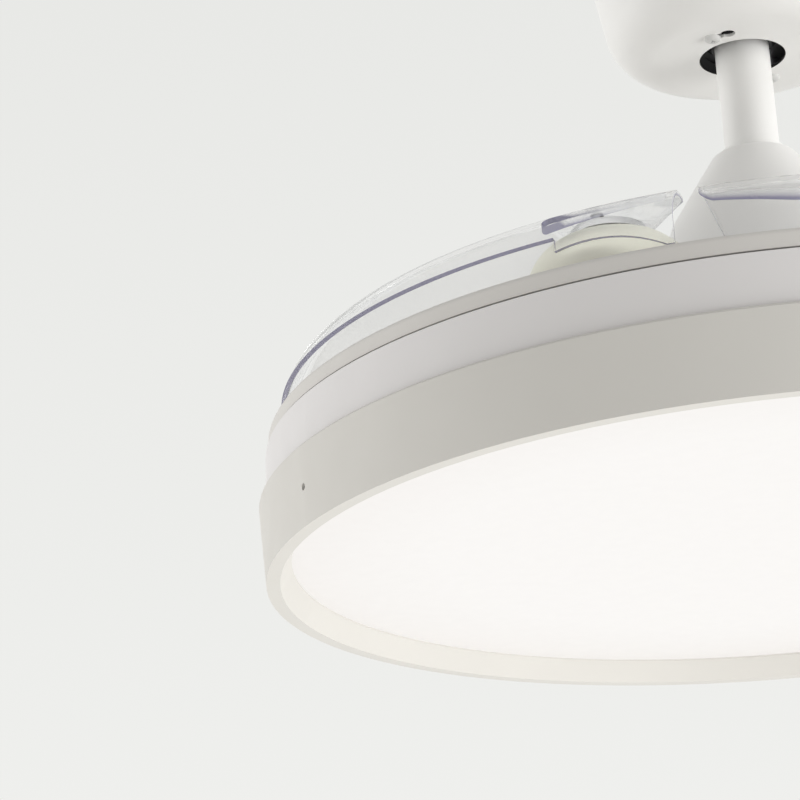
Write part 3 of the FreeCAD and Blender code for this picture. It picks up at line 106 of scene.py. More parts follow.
# %% Helpers for nodes
def set_values(node, values):
    """Sets values on a node's input sockets by their names."""
    for socket, value in values.items():
        node.inputs[socket].default_value = value


def add_node(tree, kind, values=None):
    """A new node of a kind, with values on its input sockets."""
    node = tree.nodes.new(kind)
    set_values(node, values or {})
    return node


def add_ramp(tree, start, start_colour, end, end_colour):
    """A colour ramp with one stop at its start and one at its end."""
    ramp = add_node(tree, "ShaderNodeValToRGB")
    stops = ramp.color_ramp.elements
    stops[0].position = start
    stops[0].color = start_colour
    stops[1].position = end
    stops[1].color = end_colour
    return ramp


print("node helpers for Blender", bpy.app.version_string)

# %% [markdown]
# The studio is a pale room. What the camera, mirrors and clear plastic see is a pale backdrop that
# is a little brighter low down, while the light that falls on the fan is dimmer, so that white
# pieces keep their shading. Light Path tells the two apart.

# %% Backdrop
BACKDROP_LOW = (0.871, 0.875, 0.855, 1)
BACKDROP_HIGH = (0.799, 0.803, 0.783, 1)
GRADIENT_FOOT = 0.15
GRADIENT_TOP = 0.50
ROOM_LIGHT = (0.375, 0.371, 0.363, 1)


def seen_rays(tree):
    """One for the rays of the camera, of mirrors and of clear plastic, and nought for the light."""
    path = add_node(tree, "ShaderNodeLightPath")
    seen = path.outputs["Is Camera Ray"]
    for kind in ("Is Glossy Ray", "Is Transmission Ray"):
        either = add_node(tree, "ShaderNodeMath")
        either.operation = "MAXIMUM"
        tree.links.new(seen, either.inputs[0])
        tree.links.new(path.outputs[kind], either.inputs[1])
        seen = either.outputs["Value"]
    return seen


def add_background(tree):
    """The world's nodes: a pale gradient for the eye, an even room light for the rest."""
    tree.nodes.clear()
    place = add_node(tree, "ShaderNodeTexCoord")
    split = add_node(tree, "ShaderNodeSeparateXYZ")
    rise = add_node(tree, "ShaderNodeMapRange",
                    {"From Min": GRADIENT_FOOT, "From Max": GRADIENT_TOP})
    shades = add_ramp(tree, 0.0, BACKDROP_LOW, 1.0, BACKDROP_HIGH)
    seen = add_node(tree, "ShaderNodeBackground")
    room = add_node(tree, "ShaderNodeBackground", {"Color": ROOM_LIGHT})
    mix = add_node(tree, "ShaderNodeMixShader")
    out = add_node(tree, "ShaderNodeOutputWorld")
    link = tree.links.new
    link(place.outputs["Generated"], split.inputs["Vector"])
    link(split.outputs["Z"], rise.inputs["Value"])
    link(rise.outputs["Result"], shades.inputs["Fac"])
    link(shades.outputs["Color"], seen.inputs["Color"])
    link(seen_rays(tree), mix.inputs["Fac"])
    link(room.outputs["Background"], mix.inputs[1])
    link(seen.outputs["Background"], mix.inputs[2])
    link(mix.outputs["Shader"], out.inputs["Surface"])


world = bpy.data.worlds.new("pale_room")
world.use_nodes = True
add_background(world.node_tree)
scene.world = world
print("backdrop", world.name, "with", len(world.node_tree.nodes), "nodes")

# %% [markdown]
# Two large soft lamps, one on each side, leave the side that faces the camera in a gentle shade, as
# in the photograph, and a smaller one high on the right lights the slope of the bell. Mirrors and
# clear plastic don't see the lamps, or each blade would show a hard white square. The table gives
# each lamp's turn from the photographer and its elevation in degrees, its distance and width in
# metres, and its power in watts.

# %% Soft lamps
SOFTBOXES = (
    ("right_softbox", 75, -14, 2.8, 1.8, 44),
    ("high_softbox", 82, 40, 2.4, 1.2, 15),
    ("left_softbox", -102, 12, 2.8, 2.0, 33),
)


def add_softbox(name, side_turn, elevation, distance, width, watts):
    """A square soft lamp, placed by its turn from the photographer and aimed at the drum."""
    lamp_data = bpy.data.lights.new(name, "AREA")
    lamp_data.shape = "SQUARE"
    lamp_data.size = width
    lamp_data.energy = watts
    lamp = bpy.data.objects.new(name, lamp_data)
    lamp.visible_glossy = False
    lamp.visible_transmission = False
    scene.collection.objects.link(lamp)
    towards = direction(STAND_AZIMUTH + math.radians(side_turn), math.radians(elevation))
    lamp.matrix_world = looking_matrix(STAND_CENTRE + towards * distance, -towards, 0)


for softbox in SOFTBOXES:
    add_softbox(*softbox)
print(len(SOFTBOXES), "soft lamps")

# %% [markdown]
# The floor is far below, as under a real ceiling, so the fan's shadow on it is faint and soft. It
# stands for a pale floor in daylight: a steady glow of its own lights the fan from below, because
# the photograph shows the canopy's underside bright. Camera, mirrors and clear plastic see a little
# less of that glow, so that the floor meets the backdrop without a line. Its finish, like every one
# that follows, starts as one Principled shader.

# %% Floor
FLOOR_LEVEL = -3.4
FLOOR_HALF = 30.0
FLOOR_CORNERS = ((-1, -1), (1, -1), (1, 1), (-1, 1))
FLOOR_COLOUR = (0.80, 0.80, 0.785)
FLOOR_GLOW_COLOUR = (1, 0.995, 0.98, 1)
FLOOR_GLOW = 0.62
FLOOR_SEEN_GLOW = 0.535


def shader_of(material):
    """The Principled shader of a material."""
    return material.node_tree.nodes["Principled BSDF"]


def new_finish(name, colour, roughness, metallic=0.0):
    """A material with one Principled shader and its main values."""
    material = bpy.data.materials.new(name)
    material.use_nodes = True
    set_values(shader_of(material), {"Base Color": colour + (1,), "Roughness": roughness,
                                     "Metallic": metallic})
    return material


def floor_finish():
    """A matt pale floor with a glow of its own."""
    material = new_finish("pale_floor", FLOOR_COLOUR, roughness=0.9)
    tree = material.node_tree
    shader = shader_of(material)
    set_values(shader, {"Emission Color": FLOOR_GLOW_COLOUR})
    glow = add_node(tree, "ShaderNodeMapRange", {"To Min": FLOOR_GLOW, "To Max": FLOOR_SEEN_GLOW})
    tree.links.new(seen_rays(tree), glow.inputs["Value"])
    tree.links.new(glow.outputs["Result"], shader.inputs["Emission Strength"])
    return material


floor_mesh = bpy.data.meshes.new("floor")
floor_mesh.from_pydata([(x * FLOOR_HALF, y * FLOOR_HALF, FLOOR_LEVEL) for x, y in FLOOR_CORNERS],
                       [], [(0, 1, 2, 3)])
floor_mesh.materials.append(floor_finish())
floor = bpy.data.objects.new("floor", floor_mesh)
scene.collection.objects.link(floor)
print("floor at", FLOOR_LEVEL, "m")

# %% [markdown]
# What makes a finish look real is small variation: colour that drifts by a percent or two, gloss
# that is uneven, and a relief too fine to see as shape. The helpers below each add one of these
# from a noise that reads Object coordinates, in metres, so a scale of 1000 means grains of about a
# millimetre. A scanned image could do the same, but noise has no seams and needs no file. A cloudy
# noise keeps near its middle value, so only that middle part is used.

# %% Helpers for finishes
GLOSS_NOISE_LOW = 0.3
GLOSS_NOISE_HIGH = 0.7


def place_of(material, stretch=(1, 1, 1)):
    """Object coordinates, stretched where a grain has a direction."""
    tree = material.node_tree
    place = add_node(tree, "ShaderNodeTexCoord")
    mapping = add_node(tree, "ShaderNodeMapping", {"Scale": stretch})
    tree.links.new(place.outputs["Object"], mapping.inputs["Vector"])
    return mapping.outputs["Vector"]


def grain(material, scale, detail=3.0, stretch=(1, 1, 1)):
    """A cloudy noise of a chosen fineness."""
    tree = material.node_tree
    noise = add_node(tree, "ShaderNodeTexNoise", {"Scale": scale, "Detail": detail})
    tree.links.new(place_of(material, stretch), noise.inputs["Vector"])
    return noise.outputs["Fac"]


def darker(colour, share):
    """A colour with only a share of its light."""
    return tuple(value * share for value in colour)


def drift_colour(material, pattern, dark, light, low=0.35, high=0.65):
    """Lets the base colour drift between two shades along a pattern."""
    tree = material.node_tree
    shades = add_ramp(tree, low, dark + (1,), high, light + (1,))
    tree.links.new(pattern, shades.inputs["Fac"])
    tree.links.new(shades.outputs["Color"], shader_of(material).inputs["Base Color"])


def drift_gloss(material, pattern, low, high):
    """Lets the roughness drift between two values along a pattern."""
    tree = material.node_tree
    span = add_node(tree, "ShaderNodeMapRange", {"From Min": GLOSS_NOISE_LOW, "To Min": low,
                                                 "From Max": GLOSS_NOISE_HIGH, "To Max": high})
    tree.links.new(pattern, span.inputs["Value"])
    tree.links.new(span.outputs["Result"], shader_of(material).inputs["Roughness"])


def add_relief(material, pattern, depth, strength):
    """Raises the surface along a pattern, by a depth in metres."""
    tree = material.node_tree
    relief = add_node(tree, "ShaderNodeBump", {"Strength": strength, "Distance": depth})
    tree.links.new(pattern, relief.inputs["Height"])
    tree.links.new(relief.outputs["Normal"], shader_of(material).inputs["Normal"])


def dress(material, *names):
    """Gives CAD solids a finish."""
    for name in names:
        solid = nodes[name]
        if not solid.material_slots:
            solid.data.materials.append(material)
        for slot in solid.material_slots:
            slot.material = material
    print(material.name, "on", len(names), "solids")


print("gloss follows the noise from", GLOSS_NOISE_LOW, "to", GLOSS_NOISE_HIGH)

# %% [markdown]
# The down rod, the bell and the canopy are painted steel. Sprayed powder leaves a very fine orange
# peel, satin rather than glossy, and where a hand has wiped it the gloss changes a little.

# %% Satin white paint
PAINT_COLOUR = (0.90, 0.894, 0.876)


def painted_steel(name, colour):
    """Satin powder paint."""
    material = new_finish(name, colour, roughness=0.42)
    set_values(shader_of(material), {"Specular IOR Level": 0.45})
    drift_colour(material, grain(material, scale=9.0), darker(colour, 0.975), colour)
    drift_gloss(material, grain(material, scale=40.0), low=0.36, high=0.50)
    add_relief(material, grain(material, scale=900.0, detail=2.0), depth=0.00004, strength=0.35)
    return material


dress(painted_steel("satin_white_paint", PAINT_COLOUR), "downrod", "bell_cover")

# %% [markdown]
# The inside of the canopy's deep cup lies in shade, so its faces there get painted shade, near
# black, instead of the paint, and its hole looks black. Two materials on two sets of faces could
# show this, but a CAD mesh is left as it is, so the shader decides: a face belongs to the inside if
# it looks towards the axis or up at the ceiling. One dot product of its normal and a direction made
# from Object coordinates tells.

# %% Paint with painted shade inside
# Near-black painted shade for the inside of the canopy's cup.
INSIDE_PAINTED_SHADE = (0.022, 0.022, 0.024, 1)
INWARD_WEIGHT = 20
INSIDE_START = 0.2
INSIDE_END = 0.4


def paint_with_shaded_inside(name, colour):
    """Satin paint outside a cup, and near-black painted shade on the faces that look in or up."""
    material = painted_steel(name, colour)
    tree = material.node_tree
    base = shader_of(material).inputs["Base Color"]
    place = add_node(tree, "ShaderNodeTexCoord")
    inward = add_node(tree, "ShaderNodeMapping",
                      {"Location": UP, "Scale": (-INWARD_WEIGHT, -INWARD_WEIGHT, 0)})
    facing = add_node(tree, "ShaderNodeVectorMath")
    facing.operation = "DOT_PRODUCT"
    inside = add_node(tree, "ShaderNodeMapRange",
                      {"From Min": INSIDE_START, "From Max": INSIDE_END})
    inside_shade = add_node(tree, "ShaderNodeMixRGB", {"Color2": INSIDE_PAINTED_SHADE})
    link = tree.links.new
    link(place.outputs["Object"], inward.inputs["Vector"])
    link(inward.outputs["Vector"], facing.inputs[0])
    link(place.outputs["Normal"], facing.inputs[1])
    link(facing.outputs["Value"], inside.inputs["Value"])
    link(inside.outputs["Result"], inside_shade.inputs["Fac"])
    link(base.links[0].from_socket, inside_shade.inputs["Color1"])
    link(inside_shade.outputs["Color"], base)
    return material


dress(paint_with_shaded_inside("canopy_paint", PAINT_COLOUR), "canopy")

# %% [markdown]
# The drum, the tray, the blade hubs and the timing gears are moulded plastic, and the bell's
# grommet is moulded rubber. The mould's spark-eroded steel leaves a dense matt texture, and the
# lamp ring is moulded in a slightly warmer white than the rest. The fan has three blade arms, so
# some pieces come three times.

# %% Moulded plastic
ARMS = (1, 2, 3)


def per_arm(name):
    """The names of the pieces that every blade arm has one of."""
    return ["%s_%d" % (name, arm) for arm in ARMS]


def moulded_plastic(name, colour, texture=0.00003):
    """Matt moulded plastic or rubber, whose texture is a depth in metres."""
    material = new_finish(name, colour, roughness=0.5)
    set_values(shader_of(material), {"Specular IOR Level": 0.4})
    drift_colour(material, grain(material, scale=14.0), darker(colour, 0.98), colour)
    drift_gloss(material, grain(material, scale=60.0), low=0.44, high=0.60)
    add_relief(material, grain(material, scale=2200.0, detail=2.0), depth=texture, strength=0.4)
    return material


dress(moulded_plastic("white_moulding", (0.80, 0.782, 0.778)), "lamp_pan")
dress(moulded_plastic("tray_moulding", (0.72, 0.70, 0.67)), "blade_tray")
dress(moulded_plastic("warm_white_moulding", (0.695, 0.678, 0.64)), "lamp_ring")
dress(moulded_plastic("cream_hub_moulding", (0.88, 0.872, 0.765)), *per_arm("hub_cover"))
dress(moulded_plastic("plain_box_moulding", (0.70, 0.70, 0.69)), "receiver_box", "led_driver")
dress(moulded_plastic("terminal_moulding", (0.74, 0.72, 0.64)), "terminal_block")
dress(moulded_plastic("black_ball_moulding", (0.025, 0.025, 0.027), texture=0.00008), "hanger_ball")
dress(moulded_plastic("natural_nylon", (0.72, 0.70, 0.62)), "sync_ring", "sync_guides",
      *per_arm("blade_pinion"))
dress(moulded_plastic("black_rubber", (0.03, 0.03, 0.03), texture=0.0001), "bell_grommet")

# %% [markdown]
# The lamp's disc is opal plastic lit from behind. Light through milky plastic renders slowly and
# with noise, so the disc itself glows. It does so almost evenly, a touch less towards its edge, so
# the emission follows the distance from the fan's axis. A faint frost in its surface keeps it from
# looking like a flat cut-out from the side.

# %% Lit opal disc
DISC_RADIUS = 0.2406
DISC_GLOW = 0.36
EDGE_START = 0.70
MIDDLE_GLOW_COLOUR = (1, 0.975, 0.965, 1)
EDGE_GLOW_COLOUR = (0.93, 0.885, 0.86, 1)


def lit_opal():
    """Opal plastic that glows a little less towards its edge."""
    material = new_finish("lit_opal", (0.50, 0.495, 0.49), roughness=0.38)
    tree = material.node_tree
    shader = shader_of(material)
    set_values(shader, {"Emission Strength": DISC_GLOW})
    flat = place_of(material, (1 / DISC_RADIUS, 1 / DISC_RADIUS, 0))
    reach = add_node(tree, "ShaderNodeVectorMath")
    reach.operation = "LENGTH"
    glow = add_ramp(tree, EDGE_START, MIDDLE_GLOW_COLOUR, 1.0, EDGE_GLOW_COLOUR)
    tree.links.new(flat, reach.inputs[0])
    tree.links.new(reach.outputs["Value"], glow.inputs["Fac"])
    tree.links.new(glow.outputs["Color"], shader.inputs["Emission Color"])
    drift_gloss(material, grain(material, scale=120.0), low=0.40, high=0.46)
    return material


dress(lit_opal(), "diffuser")

# %% [markdown]
# Metal comes in three looks here. Turned pins and shafts carry fine rings, which a noise stretched
# level draws. Zinc-plated sheet shows the cloudy bloom of the plating, and cast or pressed pieces
# keep the grain of the sand, the die or the powder.

# %% Metals
def turned_steel(name, colour):
    """Steel with the fine rings that a lathe leaves."""
    material = new_finish(name, colour, roughness=0.3, metallic=1.0)
    rings = grain(material, scale=1400.0, detail=2.0, stretch=(0.05, 0.05, 1))
    drift_gloss(material, rings, low=0.22, high=0.40)
    drift_colour(material, grain(material, scale=50.0), darker(colour, 0.9), colour)
    add_relief(material, rings, depth=0.00002, strength=0.3)
    return material


def zinc_plate(name, colour):
    """Sheet steel with cloudy zinc plating."""
    material = new_finish(name, colour, roughness=0.4, metallic=1.0)
    bloom = grain(material, scale=130.0, detail=4.0)
    drift_colour(material, bloom, darker(colour, 0.82), colour)
    drift_gloss(material, bloom, low=0.32, high=0.52)
    add_relief(material, grain(material, scale=700.0), depth=0.00003, strength=0.3)
    return material


def cast_metal(name, colour, metallic):
    """A cast or pressed piece with a coarse skin."""
    material = new_finish(name, colour, roughness=0.55, metallic=metallic)
    drift_colour(material, grain(material, scale=90.0), darker(colour, 0.8), colour)
    drift_gloss(material, grain(material, scale=160.0), low=0.45, high=0.68)
    add_relief(material, grain(material, scale=850.0, detail=4.0), depth=0.00012, strength=0.5)
    return material


dress(turned_steel("bright_turned_steel", (0.62, 0.625, 0.63)),
      "hanger_pin", "ball_set_screw", "yoke_bolt", "yoke_clip", "yoke_set_screws", "motor_shaft",
      "upper_bearing", "lower_bearing", "shaft_nut")
dress(turned_steel("nickel_plated_pivot", (0.84, 0.84, 0.845)), *per_arm("blade_pivot"))
dress(turned_steel("dark_set_screw", (0.20, 0.20, 0.205)), "lamp_ring_screws")
dress(zinc_plate("zinc_plated_sheet", (0.56, 0.57, 0.585)), "ceiling_bracket", "lamp_plate")
dress(cast_metal("dark_yoke_casting", (0.20, 0.20, 0.205), metallic=0.6), "rod_yoke")
dress(cast_metal("die_cast_case", (0.58, 0.58, 0.59), metallic=1.0),
      "rotor_top_case", "rotor_bottom_case")
dress(cast_metal("ferrite_magnet", (0.10, 0.10, 0.105), metallic=0.2), "rotor_magnets")
dress(cast_metal("sintered_bronze", (0.52, 0.36, 0.17), metallic=1.0), "pivot_bushes")

# %% [markdown]
# The motor's core is a stack of thin steel sheets, so its sides show fine level lines. A wave
# texture draws them: it makes a wave in every 2 pi of its coordinate times its scale times 20. The
# lamp's board is aluminium under white lacquer, with a faint pattern of copper tracks beneath it.

# %% Stacked core and lamp board
SHEET_PITCH = 0.0005
WAVE_FACTOR = 20


def stacked_sheets():
    """The level lines of stacked steel sheets."""
    material = new_finish("stacked_core_sheets", (0.30, 0.30, 0.32), roughness=0.45, metallic=0.9)
    tree = material.node_tree
    lines = add_node(tree, "ShaderNodeTexWave",
                     {"Scale": 2 * math.pi / (WAVE_FACTOR * SHEET_PITCH)})
    lines.bands_direction = "Z"
    tree.links.new(place_of(material), lines.inputs["Vector"])
    drift_colour(material, lines.outputs["Fac"], (0.16, 0.16, 0.175), (0.36, 0.36, 0.38))
    add_relief(material, lines.outputs["Fac"], depth=0.00008, strength=0.6)
    return material


def lacquered_board():
    """White lacquer over copper tracks."""
    material = new_finish("white_lacquered_board", (0.82, 0.83, 0.82), roughness=0.35)
    tree = material.node_tree
    tracks = add_node(tree, "ShaderNodeTexVoronoi", {"Scale": 55.0})
    tracks.feature = "DISTANCE_TO_EDGE"
    tree.links.new(place_of(material), tracks.inputs["Vector"])
    drift_colour(material, tracks.outputs["Distance"], (0.74, 0.76, 0.72), (0.84, 0.85, 0.84),
                 low=0.02, high=0.05)
    add_relief(material, tracks.outputs["Distance"], depth=0.00005, strength=0.3)
    return material


dress(stacked_sheets(), "stator_core")
dress(lacquered_board(), "led_board")

# %% [markdown]
# Small pieces that repeat are made once and set on points: a screw on each hole, a chip on each
# place of the board, a coil on each tooth. One Geometry Nodes tree does them all. Each point
# carries its turn about the upright axis, and the tree ends in plain geometry with a material,
# because instances don't leave Blender.

# %% A tree that sets pieces on points
def add_socket(tree, name, kind, way="INPUT"):
    """A named input or output of a tree."""
    tree.interface.new_socket(name=name, in_out=way, socket_type=kind)


def points_tree():
    """Sets a piece on every point, tipped over and turned, and paints it."""
    tree = bpy.data.node_groups.new("pieces_on_points", "GeometryNodeTree")
    add_socket(tree, "Points", "NodeSocketGeometry")
    add_socket(tree, "Piece", "NodeSocketObject")
    add_socket(tree, "Tip over", "NodeSocketFloat")
    add_socket(tree, "Finish", "NodeSocketMaterial")
    add_socket(tree, "Pieces", "NodeSocketGeometry", "OUTPUT")
    given = add_node(tree, "NodeGroupInput")
    made = add_node(tree, "NodeGroupOutput")
    turn = add_node(tree, "GeometryNodeInputNamedAttribute", {"Name": "turn"})
    turn.data_type = "FLOAT"
    angles = add_node(tree, "ShaderNodeCombineXYZ")
    piece = add_node(tree, "GeometryNodeObjectInfo")
    set_on = add_node(tree, "GeometryNodeInstanceOnPoints")
    real = add_node(tree, "GeometryNodeRealizeInstances")
    paint = add_node(tree, "GeometryNodeSetMaterial")
    link = tree.links.new
    link(given.outputs["Tip over"], angles.inputs["X"])
    link(turn.outputs["Attribute"], angles.inputs["Z"])
    link(given.outputs["Piece"], piece.inputs["Object"])
    link(given.outputs["Points"], set_on.inputs["Points"])
    link(piece.outputs["Geometry"], set_on.inputs["Instance"])
    link(angles.outputs["Vector"], set_on.inputs["Rotation"])
    link(set_on.outputs["Instances"], real.inputs["Geometry"])
    link(real.outputs["Geometry"], paint.inputs["Geometry"])
    link(given.outputs["Finish"], paint.inputs["Material"])
    link(paint.outputs["Geometry"], made.inputs["Pieces"])
    return tree


POINTS_TREE = points_tree()
print("tree", POINTS_TREE.name, "with", len(POINTS_TREE.nodes), "nodes")

# %% [markdown]
# A tree works as a modifier on a host object. Its inputs go by the identifiers of their sockets,
# and they are set before the host is first evaluated. The result is then copied to a plain mesh,
# and the host is thrown away. A finished mesh becomes a piece that rides on a body and stands for
# the solids it replaces.

# %% From a tree to a piece
def host_of(mesh):
    """An object that carries a mesh for as long as modifiers work on it."""
    host = bpy.data.objects.new(mesh.name, mesh)
    scene.collection.objects.link(host)
    return host


def use_tree(host, tree, values):
    """Adds a tree to a host, with its inputs set by the identifiers of their sockets."""
    modifier = host.modifiers.new(tree.name, "NODES")
    modifier.node_group = tree
    for item in tree.interface.items_tree:
        if item.in_out == "INPUT" and item.name in values:
            modifier[item.identifier] = values[item.name]


def plain_mesh(host, name):
    """The evaluated host as a plain mesh, after which the host is removed."""
    graph = bpy.context.evaluated_depsgraph_get()
    mesh = bpy.data.meshes.new_from_object(host.evaluated_get(graph))
    mesh.name = name
    bpy.data.objects.remove(host)
    return mesh


def on_points(name, piece_mesh, places, material, tip_over=0.0):
    """Sets a mesh on places, each a point and a turn, and gives one plain mesh."""
    points, turns = zip(*places)
    cloud = bpy.data.meshes.new(name + "_points")
    cloud.from_pydata(points, [], [])
    cloud.attributes.new("turn", "FLOAT", "POINT").data.foreach_set("value", turns)
    host = host_of(cloud)
    sample = host_of(piece_mesh)
    use_tree(host, POINTS_TREE, {"Piece": sample, "Tip over": tip_over, "Finish": material})
    mesh = plain_mesh(host, name)
    bpy.data.objects.remove(sample)
    return mesh


def shown_piece(name, mesh, body, slot, *replaced):
    """Links a finished mesh, lets it ride on its body and stand for its solids."""
    piece = bpy.data.objects.new(name, mesh)
    scene.collection.objects.link(piece)
    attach(piece, body)
    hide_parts(*replaced)
    print(name, "with", len(mesh.polygons), "faces rides on", body)


print("sockets of the tree:", [item.name for item in POINTS_TREE.interface.items_tree])

# %% [markdown]
# A pan-head screw is a turned shape: a domed head, a shank and a row of thread ridges. A profile is
# spun about the upright axis, and a cross is cut into the head with a Boolean. The cross is one
# closed outline, because a cutter made of two crossing bars can leave nothing of the screw. Its
# foot is smaller than its mouth, as a driver's tip is.

# %% The shape of a screw
SPIN_STEPS = 32
MERGE_REACH = 0.000005
SLIVER = 0.000002
CROSS_FOOT_REACH = 0.35
CROSS_FOOT_HALF = 0.3
CROSS_MOUTH_HALF = 0.5


def finished_mesh(shape, name):
    """The mesh of a shape, which is freed."""
    mesh = bpy.data.meshes.new(name)
    shape.to_mesh(mesh)
    shape.free()
    return mesh


def spun_mesh(name, profile):
    """A closed solid of revolution from a profile of radius and level."""
    shape = bmesh.new()
    points = [shape.verts.new((radius, 0, level)) for radius, level in profile]
    edges = [shape.edges.new(pair) for pair in zip(points, points[1:])]
    bmesh.ops.spin(shape, geom=points + edges, axis=UP, cent=(0, 0, 0), angle=2 * math.pi,
                   steps=SPIN_STEPS, use_duplicate=False)
    bmesh.ops.remove_doubles(shape, verts=shape.verts, dist=MERGE_REACH)
    bmesh.ops.dissolve_degenerate(shape, edges=shape.edges, dist=SLIVER)
    bmesh.ops.recalc_face_normals(shape, faces=shape.faces)
    return finished_mesh(shape, name)


def cross_outline(reach, half):
    """The twelve corners of a plus sign."""
    corners = []
    for quarter in range(4):
        along = direction(quarter * math.pi / 2, 0)
        across = UP.cross(along)
        corners.append(along * reach - across * half)
        corners.append(along * reach + across * half)
        corners.append((along + across) * half)
    return corners


def cross_mesh(reach, width, top, depth):
    """The tapered cross that a driver fits in, as one closed shape."""
    shape = bmesh.new()
    foot = cross_outline(reach * CROSS_FOOT_REACH, width * CROSS_FOOT_HALF)
    mouth = cross_outline(reach, width * CROSS_MOUTH_HALF)
    lower = [shape.verts.new(corner + UP * (top - depth)) for corner in foot]
    upper = [shape.verts.new(corner + UP * (top + depth)) for corner in mouth]
    shape.faces.new(lower)
    shape.faces.new(upper)
    for index in range(len(lower)):
        shape.faces.new((lower[index - 1], lower[index], upper[index], upper[index - 1]))
    bmesh.ops.recalc_face_normals(shape, faces=shape.faces)
    return finished_mesh(shape, "driver_cross")


print("turned shapes have", SPIN_STEPS, "sides")

# %% [markdown]
# The sizes of a screw come in a small table: the radius of its shank, the radius of its head and
# the height of its head. The head's outline and the cross are shares of these. Real screws never
# stop at the same angle, so each gets a turn of its own, from a golden-ratio step.

# %% Screws on circles
THREAD_PITCH = 0.0007
THREAD_ROOT = 0.86
TIP_SHARE = 0.8
HEAD_PROFILE = ((1, 0.35), (0.93, 0.65), (0.75, 0.88), (0.45, 0.98), (0, 1))
CROSS_REACH = 0.62
CROSS_WIDTH = 0.24
CROSS_DEPTH = 0.6
SCREW_SHARP_ANGLE = math.radians(35)
GOLDEN_TURN = 2.399963


def screw_mesh(name, sizes, length):
    """A pan-head screw that stands on the origin with its head up."""
    radius, head_radius, head_height = sizes
    profile = [(0, -length), (radius * TIP_SHARE, -length)]
    level = -length + THREAD_PITCH / 2
    while level < -THREAD_PITCH:
        profile.append((radius, level))
        profile.append((radius * THREAD_ROOT, level + THREAD_PITCH / 2))
        level += THREAD_PITCH
    profile += [(radius, -THREAD_PITCH / 4), (radius, 0), (head_radius, 0)]
    profile += [(head_radius * across, head_height * rise) for across, rise in HEAD_PROFILE]
    host = host_of(spun_mesh(name, profile))
    cutter = host_of(cross_mesh(head_radius * CROSS_REACH, head_radius * CROSS_WIDTH, head_height,
                                head_height * CROSS_DEPTH))
    cut = host.modifiers.new("cross", "BOOLEAN")
    cut.operation = "DIFFERENCE"
    cut.object = cutter
    cut.solver = "EXACT"
    mesh = plain_mesh(host, name)
    bpy.data.objects.remove(cutter)
    mesh.shade_smooth()
    mesh.set_sharp_from_angle(angle=SCREW_SHARP_ANGLE)
    return mesh


def on_circle(radius, angle, level, centre=(0, 0)):
    """A point on a level circle."""
    return (centre[0] + radius * math.cos(angle), centre[1] + radius * math.sin(angle), level)


def ring_places(circle, level, count, first, centre=(0, 0)):
    """Places on a circle from a first azimuth, each with a turn of its own."""
    places = []
    for index in range(count):
        angle = math.radians(first) + index * 2 * math.pi / count
        places.append((on_circle(circle, angle, level, centre), index * GOLDEN_TURN))
    return places


def dress_screws(name, finish, sizes, length, places, body, tip_over=0.0):
    """Replaces the plain screws of a node."""
    sample = screw_mesh(name + "_sample", sizes, length)
    mesh = on_points(name + "_dressed", sample, places, finish, tip_over)
    shown_piece(name + "_dressed", mesh, body, "bright_steel", name)


print("threads climb", THREAD_PITCH, "m a turn")

# %% [markdown]
# The two screws that hold the canopy point up, with their heads below it, and are painted, a little
# greyer than the canopy. The others are bright steel: six through the motor's case, six that hold
# the tray and four in the lamp's plate.

# %% Screws of the canopy, the motor and the lamp
CANOPY_SCREW = (0.0020, 0.0040, 0.0022)
SMALL_SCREW = (0.0020, 0.0038, 0.0020)
CANOPY_SCREW_LENGTH = 0.008
CASE_SCREW_LENGTH = 0.004
TRAY_SCREW_LENGTH = 0.005
PLATE_SCREW_LENGTH = 0.0045
CANOPY_FLOOR = -0.0612
FLANGE_TOP = -0.2260
BASE_FLANGE_TOP = -0.2466
LAMP_PLATE_TOP = -0.2635
canopy_ring = ring_places(circle=0.0303, level=CANOPY_FLOOR, count=2, first=-90)
case_ring = ring_places(circle=0.076, level=FLANGE_TOP, count=6, first=0)
tray_ring = ring_places(circle=0.0785, level=BASE_FLANGE_TOP, count=6, first=0)
plate_ring = ring_places(circle=0.044, level=LAMP_PLATE_TOP, count=4, first=-120.7)
grey_screw = painted_steel("grey_white_painted_screw", (0.68, 0.678, 0.665))
bright_screw = turned_steel("bright_screw_steel", (0.60, 0.605, 0.61))
dress_screws("canopy_screws", grey_screw, CANOPY_SCREW, CANOPY_SCREW_LENGTH, canopy_ring,
             "ceiling_side", tip_over=math.pi)
dress_screws("rotor_case_screws", bright_screw, SMALL_SCREW, CASE_SCREW_LENGTH, case_ring, "rotor")
dress_screws("tray_screws", bright_screw, SMALL_SCREW, TRAY_SCREW_LENGTH, tray_ring, "rotor")
dress_screws("lamp_plate_screws", bright_screw, SMALL_SCREW, PLATE_SCREW_LENGTH, plate_ring,
             "hanging_side")

# %% [markdown]
# Each blade is held by three small screws in spot-faced holes round its pivot. Their level comes
# from the solids they stand for: the highest point less the height of the head. The pivots stand a
# third of a turn apart.

# %% Blade screws
ARM_STEP = 120
PIVOT_CIRCLE = 0.197
PIVOT_AZIMUTH = -82.7
BLADE_SCREW_COUNT = 3
BLADE_SCREW_CIRCLE = 0.0105
BLADE_SCREW_HEAD = 0.0015
BLADE_SCREW = (0.0015, 0.0028, BLADE_SCREW_HEAD)


def pivot_azimuth(arm):
    """Where the pivot of an arm stands, in degrees."""
    return PIVOT_AZIMUTH + ARM_STEP * (arm - 1)


def pivot_place(arm):
    """The foot of the upright axis of an arm's pivot."""
    return on_circle(PIVOT_CIRCLE, math.radians(pivot_azimuth(arm)), 0)


for arm in ARMS:
    name = "blade_screws_%d" % arm
    low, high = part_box(name)
    head_foot = high.z - BLADE_SCREW_HEAD
    places = ring_places(BLADE_SCREW_CIRCLE, head_foot, BLADE_SCREW_COUNT, pivot_azimuth(arm),
                         pivot_place(arm))
    dress_screws(name, bright_screw, BLADE_SCREW, head_foot - low.z, places, "blade_arm_%d" % arm)

